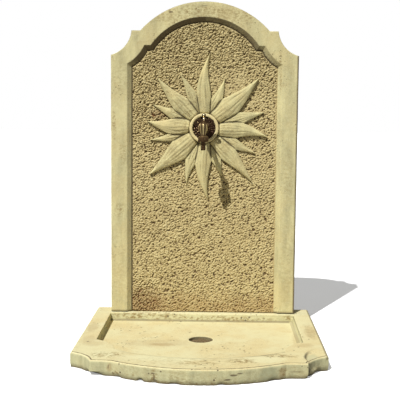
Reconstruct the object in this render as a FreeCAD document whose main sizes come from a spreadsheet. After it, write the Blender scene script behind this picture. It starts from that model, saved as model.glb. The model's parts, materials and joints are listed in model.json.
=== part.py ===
import FreeCAD, Part
import math
import os
import types
import Sketcher

# Garden wall fountain: a moulded stone back panel with a sunflower relief and a brass tap,
# standing on a low bow-fronted basin. Millimetres. X runs along the wall, Y into the wall,
# Z up. The origin is on the floor, under the middle of the whole fountain.

# Driving dimensions. Every piece takes its sizes and its place from these cells.
DIMENSIONS = {
    # basin, seen from above
    "basin_width": 706,
    "basin_depth": 674,
    "basin_thick": 42,
    "bow_rise": 66,
    "bow_half_width": 232,
    "bow_shoulder": 2,
    "cove_length": 74,
    "cove_inset": 63,
    "cove_sagitta": 13,
    "basin_arris": 5,
    # basin recess and drain
    "recess_depth": 25,
    "back_strip": 80,
    "side_rim": 53,
    "front_rim": 113,
    "recess_bow_rise": 61,
    "recess_bow_half_width": 225,
    "recess_shoulder": 4,
    "recess_shoulder_width": 12,
    "recess_cove_length": 97,
    "recess_cove_sagitta": 16,
    "drain_radius": 36,
    "drain_setback": 293,
    # back panel, outer outline
    "panel_width": 600,
    "panel_thick": 64,
    "shoulder_height": 834,
    "neck_height": 911,
    "neck_half_width": 234,
    "shoulder_sagitta": 16,
    "arch_half_width": 206,
    "arch_rise": 92,
    "panel_arris": 3,
    # back panel, moulded frame and sunk field
    "stile_width": 52,
    "inner_shoulder_height": 806,
    "inner_neck_height": 865,
    "inner_neck_half_width": 193,
    "inner_shoulder_sagitta": 6,
    "inner_arch_half_width": 173,
    "inner_arch_rise": 90,
    "bevel_run": 14,
    "field_depth": 12,
    # joint between the panel and the basin
    "mortar_thick": 3,
    "mortar_setback": 16,
    "mortar_margin": 4,
    "dowel_radius": 5,
    "dowel_length": 60,
    "dowel_spacing": 400,
    "dowel_sink": 26,
    "dowel_gap": 0.2,
    # hangers let into the back of the panel
    "hanger_spacing": 360,
    "hanger_drop": 51,
    "hanger_width": 64,
    "hanger_plate_height": 40,
    "hanger_thick": 3,
    "keyhole_radius": 6.5,
    "keyslot_width": 7,
    "keyslot_rise": 12,
    "keyhole_drop": 5,
    "hook_room_width": 22,
    "hook_room_height": 36,
    "hook_room_depth": 14,
    "hanger_screw_spacing": 48,
    "hanger_screw_radius": 2,
    "hanger_screw_head_radius": 4.2,
    "hanger_screw_length": 28,
    "plug_radius": 4,
    "plug_length": 30,
    "fit_gap": 0.05,
    # sunflower relief, collar ring and rosette
    "tap_height": 603,
    "hub_radius": 47,
    "hub_thick": 10,
    "petal_root": 34,
    "front_petal_edge": 9,
    "front_petal_crown": 18,
    "back_petal_edge": 5,
    "back_petal_crown": 11,
    "ring_radius": 47,
    "ring_bore": 37,
    "ring_height": 14,
    "ring_crest": 4.6,
    "ring_seat_gap": 0.3,
    "rosette_radius": 36.6,
    "rosette_thick": 3,
    "rosette_boss_radius": 19,
    "rosette_boss_height": 5,
    "rosette_slope": 4,
    # supply nipple through the panel
    "nipple_radius": 10.5,
    "nipple_bore": 7.5,
    "nipple_hole_radius": 11.2,
    "thread_gap": 0.1,
    "tool_room_width": 96,
    "tool_room_depth": 34,
    "back_washer_radius": 22,
    "back_washer_thick": 2.5,
    "back_nut_flats": 30,
    "back_nut_thick": 8,
    "socket_radius": 14,
    "socket_length": 23,
    "socket_grip": 9,
    "socket_web": 1.5,
    "inlet_radius": 9.3,
    # tap body
    "valve_reach": 50,
    "spout_reach": 128,
    "flange_radius": 17,
    "flange_thick": 3,
    "collar_flats": 27,
    "collar_length": 9,
    "collar_socket_depth": 11,
    "barrel_radius": 8.5,
    "barrel_bead_radius": 10.5,
    "barrel_bead_width": 4,
    "collar_neck": 5,
    "collar_chamfer": 1,
    "inlet_bore": 4,
    "chamber_radius": 13,
    "chamber_top": 12,
    "chamber_bore": 9,
    "chamber_floor": 1,
    "chamber_rim": 3,
    "chamber_waist": 1,
    "seat_height": 2,
    "seat_ring_radius": 6,
    "seat_bore": 4,
    "seat_gap": 0.05,
    "duct_start": 35,
    "duct_start_drop": 1,
    "duct_drop": 9,
    "duct_radius": 3.2,
    "run_level": 5,
    "run_radius": 6.8,
    "run_bead_radius": 8.8,
    "run_bead_width": 4,
    "outlet_bore": 4.5,
    "ball_radius": 12,
    "ball_level": 8,
    "drop_length": 30,
    "drop_foot_radius": 7.8,
    "drop_foot_land": 2,
    "nose_radius": 13,
    "nose_length": 11,
    # tap headgear
    "valve_lift": 3,
    "valve_washer_radius": 5.2,
    "valve_washer_thick": 2,
    "jumper_disc_radius": 5.4,
    "jumper_disc_thick": 1.5,
    "jumper_stem_radius": 1.5,
    "jumper_stem_length": 4.5,
    "washer_nut_radius": 2.9,
    "washer_nut_thick": 1.6,
    "jumper_stud_end": 0.5,
    "turning_gap": 0.3,
    "running_gap": 0.05,
    "spindle_thread_radius": 3.9,
    "spindle_thread_length": 6.6,
    "spindle_radius": 2.6,
    "spindle_bore_depth": 5,
    "drive_square": 4.4,
    "stud_radius": 1.9,
    "stud_length": 9,
    "bonnet_plug_length": 4,
    "bonnet_relief_depth": 1.5,
    "bonnet_relief_radius": 6.2,
    "bonnet_washer_thick": 1,
    "bonnet_flats": 20,
    "bonnet_washer_radius": 11,
    "bonnet_web": 1,
    "bonnet_hex_thick": 4.5,
    "bonnet_neck_radius": 7,
    "bonnet_neck_length": 2.5,
    "packing_radius": 4.6,
    "packing_thick": 2,
    "packing_pocket": 3.5,
    "gland_flats": 17,
    "gland_cap": 2.5,
    # butterfly handle and its finial
    "handle_gap": 0.7,
    "handle_hub_radius": 6,
    "handle_hub_height": 7.8,
    "wing_thick": 5,
    "wing_span": 29,
    "wing_droop": 15,
    "wing_hole_radius": 4,
    "wing_gap": 1.5,
    "wing_slope": 2,
    "wing_reach": 8,
    "wing_crown": 3,
    "wing_dip": 2,
    "wing_rise": 0.4,
    "finial_radius": 6.2,
    "finial_neck_radius": 3.2,
    "finial_neck_length": 4,
    "finial_length": 16,
    "finial_foot_radius": 4.8,
    "finial_cove": 1,
    "finial_bevel": 2,
    "finial_bore_end": 0.5,
    # hose union under the spout
    "union_flats": 32,
    "union_top_gap": 2.5,
    "union_lip": 2.5,
    "union_washer_thick": 2,
    "tail_collar_radius": 12.6,
    "tail_collar_thick": 2.5,
    "tail_radius": 6.6,
    "barb_radius": 7.5,
    "barb_pitch": 6,
    "tail_length": 31,
}

# The sixteen petals, eight in front and eight behind: angle of the tip from the horizontal in
# degrees, then reach from the flower's centre, half width and sideways bow of the midrib.
PETALS = {
    "front": {
        "up": (86.4, 239, 24, 13),
        "up_right": (42.9, 235, 34, -6),
        "right": (-8.0, 208, 29, 11),
        "down_right": (-47.3, 235, 29, 4),
        "down": (-86.4, 241, 29, -12),
        "down_left": (-139.2, 230, 35, 2),
        "left": (176.0, 181, 31, 8),
        "up_left": (134.5, 217, 29, 4),
    },
    "back": {
        "up": (68.0, 163, 21, -3),
        "right_high": (14.6, 205, 25, 1),
        "right_low": (-26.7, 192, 21, -3),
        "down_right": (-69.7, 168, 18, 2),
        "down_left": (-107.1, 200, 20, -9),
        "left_low": (-166.8, 179, 17, 6),
        "left_high": (157.7, 178, 21, 0),
        "up_left": (115.3, 186, 18, -6),
    },
}
for layer, petals in PETALS.items():
    for petal, sizes in petals.items():
        for key, size in zip(("angle", "reach", "half_width", "bow"), sizes):
            DIMENSIONS["%s_%s_%s" % (layer, petal, key)] = size
# How a petal's width and thickness run from root to tip: share of its length, share of its
# half width, share of its thickness.
PETAL_SHAPE = ((0.0, 0.62, 0.8), (0.3, 1.0, 1.0), (0.52, 0.84, 1.0), (0.74, 0.4, 0.85), (1.0, 0.05, 0.7))

V = FreeCAD.Vector
TAU = 2 * math.pi


class Size:
    """A length that knows its value and the sheet expression that gives it."""

    def __init__(self, value, text):
        self.value = float(value)
        self.text = text

    def __add__(self, other):
        return Size(self.value + number(other), "(%s + %s)" % (self.text, wording(other)))

    def __sub__(self, other):
        return Size(self.value - number(other), "(%s - %s)" % (self.text, wording(other)))

    def __mul__(self, other):
        return Size(self.value * number(other), "(%s * %s)" % (self.text, wording(other)))

    def __truediv__(self, other):
        return Size(self.value / number(other), "(%s / %s)" % (self.text, wording(other)))

    def __neg__(self):
        return Size(-self.value, "(0 - %s)" % self.text)

    def root(self):
        return Size(math.sqrt(self.value), "sqrt(%s)" % self.text)


def number(item):
    return item.value if isinstance(item, Size) else float(item)


def wording(item):
    return item.text if isinstance(item, Size) else "(%.9g)" % item


def is_zero(item):
    return not isinstance(item, Size) and item == 0


doc = FreeCAD.newDocument("garden_wall_fountain")
sheet = doc.addObject("Spreadsheet::Sheet", "dims")
for row, (alias, value) in enumerate(DIMENSIONS.items(), start=1):
    sheet.set("A%d" % row, alias)
    sheet.set("B%d" % row, str(value))
    sheet.setAlias("B%d" % row, alias)
doc.recompute()
d = types.SimpleNamespace(**{name: Size(sheet.get(name), "dims." + name) for name in DIMENSIONS})

subparts = []


# Sketch and feature helpers

def hold(sketch, geo, pos, axis, size):
    """Fix one coordinate of a sketch point, measured from the sketch's origin."""
    if is_zero(size):
        sketch.addConstraint(Sketcher.Constraint("PointOnObject", geo, pos, -2 if axis == "X" else -1))
        return
    size = size if isinstance(size, Size) else Size(size, wording(size))
    kind = "Distance" + axis
    if size.value < 0:
        size = -size
        index = sketch.addConstraint(Sketcher.Constraint(kind, geo, pos, -1, 1, size.value))
    else:
        index = sketch.addConstraint(Sketcher.Constraint(kind, -1, 1, geo, pos, size.value))
    sketch.setExpression("Constraints[%d]" % index, size.text)


def arc_through(start, end, bow):
    """The arc from start to end whose middle stands bow to the right of the chord."""
    chord = end - start
    right = V(chord.y, -chord.x, 0).normalize()
    radius = (chord.Length ** 2 / 4 + bow ** 2) / (2 * abs(bow))
    centre = (start + end) * 0.5 + right * (bow - math.copysign(radius, bow))
    first, last = (start, end) if bow > 0 else (end, start)
    begin = math.atan2(first.y - centre.y, first.x - centre.x)
    finish = math.atan2(last.y - centre.y, last.x - centre.x)
    return Part.ArcOfCircle(Part.Circle(centre, V(0, 0, 1), radius), begin, finish)


def outline(sketch, corners):
    """Close a loop through corners; a third value bows the edge after it to its right."""
    edges = []
    for index, corner in enumerate(corners):
        following = corners[(index + 1) % len(corners)]
        start = V(number(corner[0]), number(corner[1]), 0)
        end = V(number(following[0]), number(following[1]), 0)
        if len(corner) == 2:
            edges.append((sketch.addGeometry(Part.LineSegment(start, end)), 1, 2))
            continue
        bow = corner[2]
        geo = sketch.addGeometry(arc_through(start, end, number(bow)))
        edges.append((geo, 1, 2) if number(bow) > 0 else (geo, 2, 1))
    for index, corner in enumerate(corners):
        geo, first, last = edges[index]
        following = edges[(index + 1) % len(corners)]
        sketch.addConstraint(Sketcher.Constraint("Coincident", geo, last, following[0], following[1]))
        hold(sketch, geo, first, "X", corner[0])
        hold(sketch, geo, first, "Y", corner[1])
    for index, corner in enumerate(corners):
        if len(corner) == 3:
            bow_radius(sketch, edges[index][0], corner, corners[(index + 1) % len(corners)])
    return sketch


def bow_radius(sketch, geo, corner, following):
    """Tie an arc's radius to its chord and its sagitta."""
    across = as_size(following[0]) - corner[0]
    along = as_size(following[1]) - corner[1]
    bow = corner[2] if number(corner[2]) > 0 else -as_size(corner[2])
    radius = ((across * across + along * along) / 4 + as_size(bow) * bow) / (as_size(bow) * 2)
    index = sketch.addConstraint(Sketcher.Constraint("Radius", geo, radius.value))
    sketch.setExpression("Constraints[%d]" % index, radius.text)


def as_size(item):
    return item if isinstance(item, Size) else Size(item, wording(item))


def circle(sketch, x, y, radius):
    centre = V(number(x), number(y), 0)
    geo = sketch.addGeometry(Part.Circle(centre, V(0, 0, 1), radius.value))
    hold(sketch, geo, 3, "X", x)
    hold(sketch, geo, 3, "Y", y)
    index = sketch.addConstraint(Sketcher.Constraint("Radius", geo, radius.value))
    sketch.setExpression("Constraints[%d]" % index, radius.text)
    return sketch


def hexagon(sketch, flats):
    """A hexagon about the sketch's origin, with two flats level."""
    corner = flats / math.sqrt(3)
    half = flats / 2
    points = [(corner, 0), (corner / 2, half), (-corner / 2, half)]
    points += [(-corner, 0), (-corner / 2, -half), (corner / 2, -half)]
    return outline(sketch, points)


def rectangle(sketch, width, low, high, middle=0):
    """A rectangle of this width about the line x = middle, between two heights."""
    left = -(width / 2) if is_zero(middle) else middle - width / 2
    right = width / 2 if is_zero(middle) else middle + width / 2
    return outline(sketch, [(left, low), (right, low), (right, high), (left, high)])


def new_body(name):
    body = doc.addObject("PartDesign::Body", name)
    body.Label = name
    subparts.append(body)
    return body


def sketch_on(body, plane, name, offset=None):
    """A sketch on one of the body's own origin planes, moved along the plane's normal."""
    sketch = body.newObject("Sketcher::SketchObject", name)
    origin = [item for item in body.Origin.OriginFeatures if item.Role == plane][0]
    sketch.AttachmentSupport = [(origin, "")]
    sketch.MapMode = "FlatFace"
    if offset is not None:
        sketch.AttachmentOffset = FreeCAD.Placement(V(0, 0, number(offset)), FreeCAD.Rotation())
        sketch.setExpression("AttachmentOffset.Base.z", wording(offset))
    return sketch


def pad(body, sketch, length, backwards=False):
    feature = body.newObject("PartDesign::Pad", sketch.Name + "_pad")
    feature.Profile = sketch
    feature.setExpression("Length", length.text)
    feature.Reversed = backwards
    doc.recompute()
    return feature


def pocket(body, sketch, length, backwards=False):
    before = body.Shape.Volume
    feature = body.newObject("PartDesign::Pocket", sketch.Name + "_pocket")
    feature.Profile = sketch
    feature.setExpression("Length", length.text)
    feature.Reversed = backwards
    return after_cut(body, feature, before)


def revolve(body, sketch, axis):
    feature = body.newObject("PartDesign::Revolution", sketch.Name + "_turned")
    feature.Profile = sketch
    feature.ReferenceAxis = (sketch, [axis])
    feature.Angle = 360
    doc.recompute()
    return feature


def groove(body, sketch, axis):
    before = body.Shape.Volume
    feature = body.newObject("PartDesign::Groove", sketch.Name + "_groove")
    feature.Profile = sketch
    feature.ReferenceAxis = (sketch, [axis])
    feature.Angle = 360
    return after_cut(body, feature, before)


def after_cut(body, feature, before):
    doc.recompute()
    if body.Shape.Volume > before - 0.01:
        raise RuntimeError("%s removes nothing" % feature.Name)
    return feature


def soften(body, size, chosen):
    """Round the edges of the body's last feature that the test picks."""
    tip = body.Tip
    names = ["Edge%d" % (index + 1) for index, edge in enumerate(tip.Shape.Edges) if chosen(edge)]
    feature = body.newObject("PartDesign::Fillet", tip.Name + "_arris")
    feature.Base = (tip, names)
    feature.setExpression("Radius", size.text)
    doc.recompute()
    return feature


def turned_upright(name, corners):
    """A piece turned about its own Z axis, from corners of radius and height."""
    body = new_body(name)
    revolve(body, outline(sketch_on(body, "XZ_Plane", name + "_profile"), corners), "V_Axis")
    return body


def turned_level(name, corners):
    """A piece turned about its own Y axis, from corners of y and radius."""
    body = new_body(name)
    revolve(body, outline(sketch_on(body, "YZ_Plane", name + "_profile"), corners), "H_Axis")
    return body


def place(item, x=None, y=None, z=None):
    for axis, size in (("x", x), ("y", y), ("z", z)):
        if size is not None:
            item.setExpression("Placement.Base.%s" % axis, size.text)
    return item


def mirrored(corners):
    """A symmetric loop from its right half, given from the front middle round to the back."""
    left = [(-as_size(x), y) for x, y, *_ in reversed(corners)]
    bows = [corner[2:] for corner in corners]
    turned_bows = [bows[-1 - step] for step in range(1, len(bows))] + [()]
    left = [point + bow for point, bow in zip(left, turned_bows)]
    return list(corners) + left


# Places shared by the pieces, all measured from the floor under the fountain's middle

back = d.basin_depth / 2
panel_front = back - d.panel_thick
panel_foot = d.basin_thick + d.mortar_thick
tap_axis = panel_foot + d.tap_height
hanger_level = d.neck_height - d.hanger_drop
valve_line = panel_front - d.valve_reach
spout_line = panel_front - d.spout_reach


# Basin: one cast slab with a sunk floor, a bow front and a coved corner each side

def bow_outline(half_width, back_edge, tip, bow_rise, bow_half, shoulder, shoulder_half,
                cove_length, cove_sagitta, sketch):
    """The basin's plan shape: straight flanks, coved corners and a bowed front."""
    bow_start = tip + bow_rise
    cove_end = bow_start + shoulder
    flank_end = cove_end + cove_length
    right = [
        (bow_half, bow_start),
        (shoulder_half, cove_end, -cove_sagitta),
        (half_width, flank_end),
        (half_width, back_edge),
    ]
    left = [
        (-half_width, back_edge),
        (-half_width, flank_end, -cove_sagitta),
        (-shoulder_half, cove_end),
        (-bow_half, bow_start, bow_rise),
    ]
    return outline(sketch, right + left)


def make_basin():
    body = new_body("basin")
    half = d.basin_width / 2
    plan = sketch_on(body, "XY_Plane", "basin_plan")
    bow_outline(half, back, -back, d.bow_rise, d.bow_half_width, d.bow_shoulder,
                half - d.cove_inset, d.cove_length, d.cove_sagitta, plan)
    pad(body, plan, d.basin_thick)
    top = d.basin_thick.value
    soften(body, d.basin_arris, lambda edge: edge.BoundBox.ZMin > top - 0.1
           and edge.BoundBox.YMin < back.value - 0.1)
    floor = sketch_on(body, "XY_Plane", "basin_recess", d.basin_thick)
    bow_outline(half - d.side_rim, back - d.back_strip, d.front_rim - back, d.recess_bow_rise,
                d.recess_bow_half_width, d.recess_shoulder,
                d.recess_bow_half_width + d.recess_shoulder_width,
                d.recess_cove_length, d.recess_cove_sagitta, floor)
    pocket(body, floor, d.recess_depth)
    drain = sketch_on(body, "XY_Plane", "basin_drain", d.basin_thick)
    pocket(body, circle(drain, 0, back - d.drain_setback, d.drain_radius), d.basin_thick)
    holes = sketch_on(body, "XY_Plane", "basin_dowel_holes", d.basin_thick)
    for side in (-1, 1):
        circle(holes, d.dowel_spacing / 2 * side, dowel_line(), d.dowel_radius + d.dowel_gap)
    pocket(body, holes, d.dowel_sink)
    return body


def dowel_line():
    """The dowels stand under the middle of the stone behind the sunk field."""
    return back - (d.panel_thick - d.field_depth) / 2


# Back panel: one cast slab with a moulded frame, a sunk field and rooms in its back

def frame_outline(sketch, half, foot, shoulder, neck_half, neck, shoulder_bow, arch_half, arch_rise):
    """The panel's front shape: upright sides, coved shoulders, a short step and an arch."""
    return outline(sketch, [
        (-half, foot),
        (half, foot),
        (half, shoulder, -shoulder_bow),
        (neck_half, neck),
        (arch_half, neck, arch_rise),
        (-arch_half, neck),
        (-neck_half, neck, -shoulder_bow),
        (-half, shoulder),
    ])


# Where a corner of the sunk field lies inside the same corner of the frame's arris, as a
# share of the bevel's run: the mitre of each corner's two edges.
SHOULDER_MITRE = 0.58
NECK_MITRE = 0.62
ARCH_MITRE = 0.52


def make_wall_panel():
    body = new_body("wall_panel")
    half = d.panel_width / 2
    front = sketch_on(body, "XZ_Plane", "panel_outline")
    outline(front, [
        (-half, 0), (half, 0), (half, d.shoulder_height, -d.shoulder_sagitta),
        (d.neck_half_width, d.neck_height), (d.arch_half_width, d.neck_height, d.arch_rise),
        (-d.arch_half_width, d.neck_height), (-d.neck_half_width, d.neck_height, -d.shoulder_sagitta),
        (-half, d.shoulder_height),
    ])
    pad(body, front, d.panel_thick, backwards=True)
    soften(body, d.panel_arris, lambda edge: edge.BoundBox.YMax < 0.1 < edge.BoundBox.ZMax)
    sink_field(body, half)
    bore_panel(body)
    sink_hangers(body)
    place(body, y=panel_front, z=panel_foot)
    return body


def sink_field(body, half):
    """Cut the field from the frame's inner arris down a bevel, out through the panel's foot."""
    inner = half - d.stile_width
    below = -d.bevel_run
    arris = sketch_on(body, "XZ_Plane", "frame_arris")
    frame_outline(arris, inner, below, d.inner_shoulder_height, d.inner_neck_half_width,
                  d.inner_neck_height, d.inner_shoulder_sagitta, d.inner_arch_half_width,
                  d.inner_arch_rise)
    field = sketch_on(body, "XZ_Plane", "field_edge", -d.field_depth)
    run = d.bevel_run
    frame_outline(field, inner - run, below, d.inner_shoulder_height - run * SHOULDER_MITRE,
                  d.inner_neck_half_width - run * NECK_MITRE, d.inner_neck_height - run,
                  d.inner_shoulder_sagitta, d.inner_arch_half_width - run * ARCH_MITRE,
                  d.inner_arch_rise)
    doc.recompute()
    before = body.Shape.Volume
    sunk = body.newObject("PartDesign::SubtractiveLoft", "sunk_field")
    sunk.Profile = arris
    sunk.Sections = [field]
    sunk.Ruled = True
    after_cut(body, sunk, before)


def bore_panel(body):
    """The nipple's hole, the spanner room behind it and the dowel holes in the foot."""
    hole = sketch_on(body, "XZ_Plane", "nipple_hole")
    circle(hole, 0, d.tap_height, d.nipple_hole_radius)
    pocket(body, hole, d.panel_thick)
    room = sketch_on(body, "XZ_Plane", "tool_room", -d.panel_thick)
    rectangle(room, d.tool_room_width, d.tap_height - d.tool_room_width / 2,
              d.tap_height + d.tool_room_width / 2)
    pocket(body, room, d.tool_room_depth, backwards=True)
    holes = sketch_on(body, "XY_Plane", "panel_dowel_holes")
    for side in (-1, 1):
        circle(holes, d.dowel_spacing / 2 * side, dowel_line() - panel_front,
               d.dowel_radius + d.dowel_gap)
    rise = d.dowel_length - d.dowel_sink - d.mortar_thick + d.dowel_gap * 10
    pocket(body, holes, rise, backwards=True)


def sink_hangers(body):
    """Let the two hanger plates into the back, with room behind them for the hooks and plugs."""
    recess = sketch_on(body, "XZ_Plane", "hanger_recess", -d.panel_thick)
    for side in (-1, 1):
        rectangle(recess, d.hanger_width + d.thread_gap * 2, hanger_level - d.hanger_plate_height / 2
                  - d.thread_gap, hanger_level + d.hanger_plate_height / 2 + d.thread_gap,
                  d.hanger_spacing / 2 * side)
    pocket(body, recess, d.hanger_thick, backwards=True)
    room = sketch_on(body, "XZ_Plane", "hook_room", d.hanger_thick - d.panel_thick)
    for side in (-1, 1):
        rectangle(room, d.hook_room_width, hanger_level - d.hook_room_height / 2,
                  hanger_level + d.hook_room_height / 2, d.hanger_spacing / 2 * side)
    pocket(body, room, d.hook_room_depth, backwards=True)
    plugs = sketch_on(body, "XZ_Plane", "plug_holes", d.hanger_thick - d.panel_thick)
    for x in hanger_screw_lines():
        circle(plugs, x, hanger_level, d.plug_radius + d.fit_gap)
    pocket(body, plugs, d.plug_length, backwards=True)


def hanger_screw_lines():
    """Where the four hanger screws stand along the panel."""
    return [d.hanger_spacing / 2 * side + d.hanger_screw_spacing / 2 * step
            for side in (-1, 1) for step in (-1, 1)]


# Mortar bed and dowels between the basin and the panel

def make_mortar_bed():
    body = new_body("mortar_bed")
    bed = sketch_on(body, "XY_Plane", "bed_plan")
    rectangle(bed, d.panel_width - d.mortar_margin, panel_front + d.mortar_setback, back)
    for side in (-1, 1):
        circle(bed, d.dowel_spacing / 2 * side, dowel_line(), d.dowel_radius + d.dowel_gap)
    pad(body, bed, d.mortar_thick)
    place(body, z=d.basin_thick)
    return body


def group(name, members):
    """Like fasteners that share one node."""
    bundle = doc.addObject("Part::Compound", name)
    bundle.Label = name
    bundle.Links = members
    subparts.append(bundle)
    return bundle


def rod(name, radius, length, turn=None):
    """A plain round rod, upright unless it is turned to lie along the panel's depth."""
    cylinder = doc.addObject("Part::Cylinder", name)
    cylinder.setExpression("Radius", radius.text)
    cylinder.setExpression("Height", length.text)
    if turn is not None:
        cylinder.Placement = FreeCAD.Placement(V(), turn)
    return cylinder


INTO_PANEL = FreeCAD.Rotation(V(1, 0, 0), 90)


def make_dowels():
    pins = []
    for side in (-1, 1):
        pin = rod("dowel_%d" % (side + 2), d.dowel_radius, d.dowel_length)
        pins.append(place(pin, d.dowel_spacing / 2 * side, dowel_line(), d.basin_thick - d.dowel_sink))
    return group("panel_dowels", pins)


# Hangers: keyhole plates, screws and wall plugs

def make_hanger_plates():
    plates = []
    for side in (-1, 1):
        name = "hanger_plate_%d" % (side + 2)
        plate = doc.addObject("Part::Box", name)
        plate.setExpression("Length", d.hanger_width.text)
        plate.setExpression("Width", d.hanger_thick.text)
        plate.setExpression("Height", d.hanger_plate_height.text)
        middle = d.hanger_spacing / 2 * side
        place(plate, middle - d.hanger_width / 2, back - d.hanger_thick,
              panel_foot + hanger_level - d.hanger_plate_height / 2)
        cuts = keyhole(name, middle)
        for step in (-1, 1):
            cuts.append(countersink(name, middle + d.hanger_screw_spacing / 2 * step, step))
        tools = doc.addObject("Part::MultiFuse", name + "_tools")
        tools.Shapes = cuts
        cut = doc.addObject("Part::Cut", name + "_cut")
        cut.Base, cut.Tool = plate, tools
        plates.append(cut)
    return group("hanger_plates", plates)


def keyhole(name, middle):
    """The round entry and the narrow slot above it, as two tools that pass right through."""
    entry = rod(name + "_entry", d.keyhole_radius, d.hanger_thick * 3, INTO_PANEL)
    level = panel_foot + hanger_level - d.keyhole_drop
    place(entry, middle, back + d.hanger_thick, level)
    slot = doc.addObject("Part::Box", name + "_slot")
    slot.setExpression("Length", d.keyslot_width.text)
    slot.setExpression("Width", (d.hanger_thick * 3).text)
    slot.setExpression("Height", d.keyslot_rise.text)
    place(slot, middle - d.keyslot_width / 2, back - d.hanger_thick * 2, level)
    return [entry, slot]


def countersink(name, line, step):
    cone = doc.addObject("Part::Cone", "%s_sink_%d" % (name, step + 2))
    cone.setExpression("Radius1", (d.hanger_screw_head_radius + d.thread_gap).text)
    cone.setExpression("Radius2", (d.hanger_screw_radius + d.thread_gap).text)
    cone.setExpression("Height", d.hanger_thick.text)
    cone.Placement = FreeCAD.Placement(V(), INTO_PANEL)
    return place(cone, line, back, panel_foot + hanger_level)


def make_hanger_screws():
    screws = []
    for index, line in enumerate(hanger_screw_lines()):
        head = doc.addObject("Part::Cone", "screw_head_%d" % index)
        head.setExpression("Radius1", d.hanger_screw_head_radius.text)
        head.setExpression("Radius2", d.hanger_screw_radius.text)
        head.setExpression("Height", d.hanger_thick.text)
        head.Placement = FreeCAD.Placement(V(), INTO_PANEL)
        place(head, line, back, panel_foot + hanger_level)
        shank = rod("screw_shank_%d" % index, d.hanger_screw_radius, d.hanger_screw_length, INTO_PANEL)
        place(shank, line, back, panel_foot + hanger_level)
        screw = doc.addObject("Part::Fuse", "screw_%d" % index)
        screw.Base, screw.Tool = head, shank
        screws.append(screw)
    return group("hanger_screws", screws)


def make_screw_plugs():
    plugs = []
    for index, line in enumerate(hanger_screw_lines()):
        outer = rod("plug_outer_%d" % index, d.plug_radius, d.plug_length, INTO_PANEL)
        inner = rod("plug_inner_%d" % index, d.hanger_screw_radius + d.fit_gap,
                    d.hanger_screw_length, INTO_PANEL)
        for tube in (outer, inner):
            place(tube, line, back - d.hanger_thick, panel_foot + hanger_level)
        plug = doc.addObject("Part::Cut", "plug_%d" % index)
        plug.Base, plug.Tool = outer, inner
        plugs.append(plug)
    return group("screw_plugs", plugs)


# Sunflower relief: sixteen petals on a round hub, one casting

def petal_section(middle, across, half, edge, crown):
    """A petal's cross-section: flat back on the field, upright edges and a crowned face."""
    outwards = V(0, -1, 0)
    low_left, low_right = middle - across * half, middle + across * half
    high_left, high_right = low_left + outwards * edge, low_right + outwards * edge
    top = middle + outwards * crown
    return Part.Wire([
        Part.makeLine(low_left, high_left),
        Part.Arc(high_left, top, high_right).toShape(),
        Part.makeLine(high_right, low_right),
        Part.makeLine(low_right, low_left),
    ])


def make_petal(layer, petal):
    """One petal lofted from root to tip along its bowed midrib."""
    angle, reach, half_width, bow = (getattr(d, "%s_%s_%s" % (layer, petal, key)).value
                                     for key in ("angle", "reach", "half_width", "bow"))
    edge = getattr(d, layer + "_petal_edge").value
    crown = getattr(d, layer + "_petal_crown").value
    root = d.petal_root.value
    turn = math.radians(angle)
    along = V(math.cos(turn), 0, math.sin(turn))
    across = V(-math.sin(turn), 0, math.cos(turn))
    field = V(0, d.field_depth.value, 0)
    sections = []
    for share, width, thick in PETAL_SHAPE:
        offset = bow * math.sin(math.pi * share ** 1.3)
        middle = field + along * (root + share * (reach - root)) + across * offset
        sections.append(petal_section(middle, across, half_width * width, edge * thick, crown * thick))
    return Part.makeLoft(sections, True, False)


def make_sunflower_relief():
    petals = [make_petal(layer, petal) for layer, names in PETALS.items() for petal in names]
    field = V(0, d.field_depth.value, 0)
    out = V(0, -1, 0)
    hub = Part.makeCylinder(d.hub_radius.value, d.hub_thick.value, field, out)
    relief = hub.multiFuse(petals)
    seat = Part.makeCylinder((d.ring_radius + d.ring_seat_gap).value, d.front_petal_crown.value,
                             field + out * d.hub_thick.value, out)
    bore = Part.makeCylinder(d.nipple_hole_radius.value, d.hub_thick.value, field, out)
    relief = relief.cut(seat.fuse(bore))
    if len(relief.Solids) != 1:
        raise RuntimeError("the relief is %d solids" % len(relief.Solids))
    feature = doc.addObject("Part::Feature", "sunflower_relief")
    feature.Shape = relief.Solids[0]
    feature.Label = "sunflower_relief"
    place(feature, y=panel_front, z=tap_axis)
    subparts.append(feature)
    return feature


# Collar ring and rosette on the hub of the relief

hub_face = d.field_depth - d.hub_thick


def make_flower_ring():
    shoulder = hub_face - d.ring_height + d.ring_crest
    body = turned_level("flower_ring", [
        (hub_face, d.ring_bore),
        (hub_face, d.ring_radius),
        (shoulder, d.ring_radius, d.ring_crest),
        (shoulder, d.ring_bore),
    ])
    return place(body, y=panel_front, z=tap_axis)


def make_rosette():
    face = hub_face - d.rosette_thick
    boss = hub_face - d.rosette_boss_height
    body = turned_level("rosette", [
        (hub_face, d.nipple_hole_radius),
        (hub_face, d.rosette_radius),
        (face, d.rosette_radius),
        (face, d.rosette_boss_radius + d.rosette_slope),
        (boss, d.rosette_boss_radius),
        (boss, d.nipple_hole_radius),
    ])
    return place(body, y=panel_front, z=tap_axis)


# Supply nipple and the pieces that clamp and feed it behind the panel

tap_seat = hub_face - d.rosette_boss_height
collar_front = tap_seat - d.flange_thick - d.collar_length
room_floor = d.panel_thick - d.tool_room_depth
socket_front = d.panel_thick - d.socket_length


def make_nipple():
    body = turned_level("supply_nipple", [
        (tap_seat - d.collar_socket_depth, d.nipple_bore),
        (socket_front + d.socket_grip, d.nipple_bore),
        (socket_front + d.socket_grip, d.nipple_radius),
        (tap_seat - d.collar_socket_depth, d.nipple_radius),
    ])
    return place(body, y=panel_front, z=tap_axis)


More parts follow.
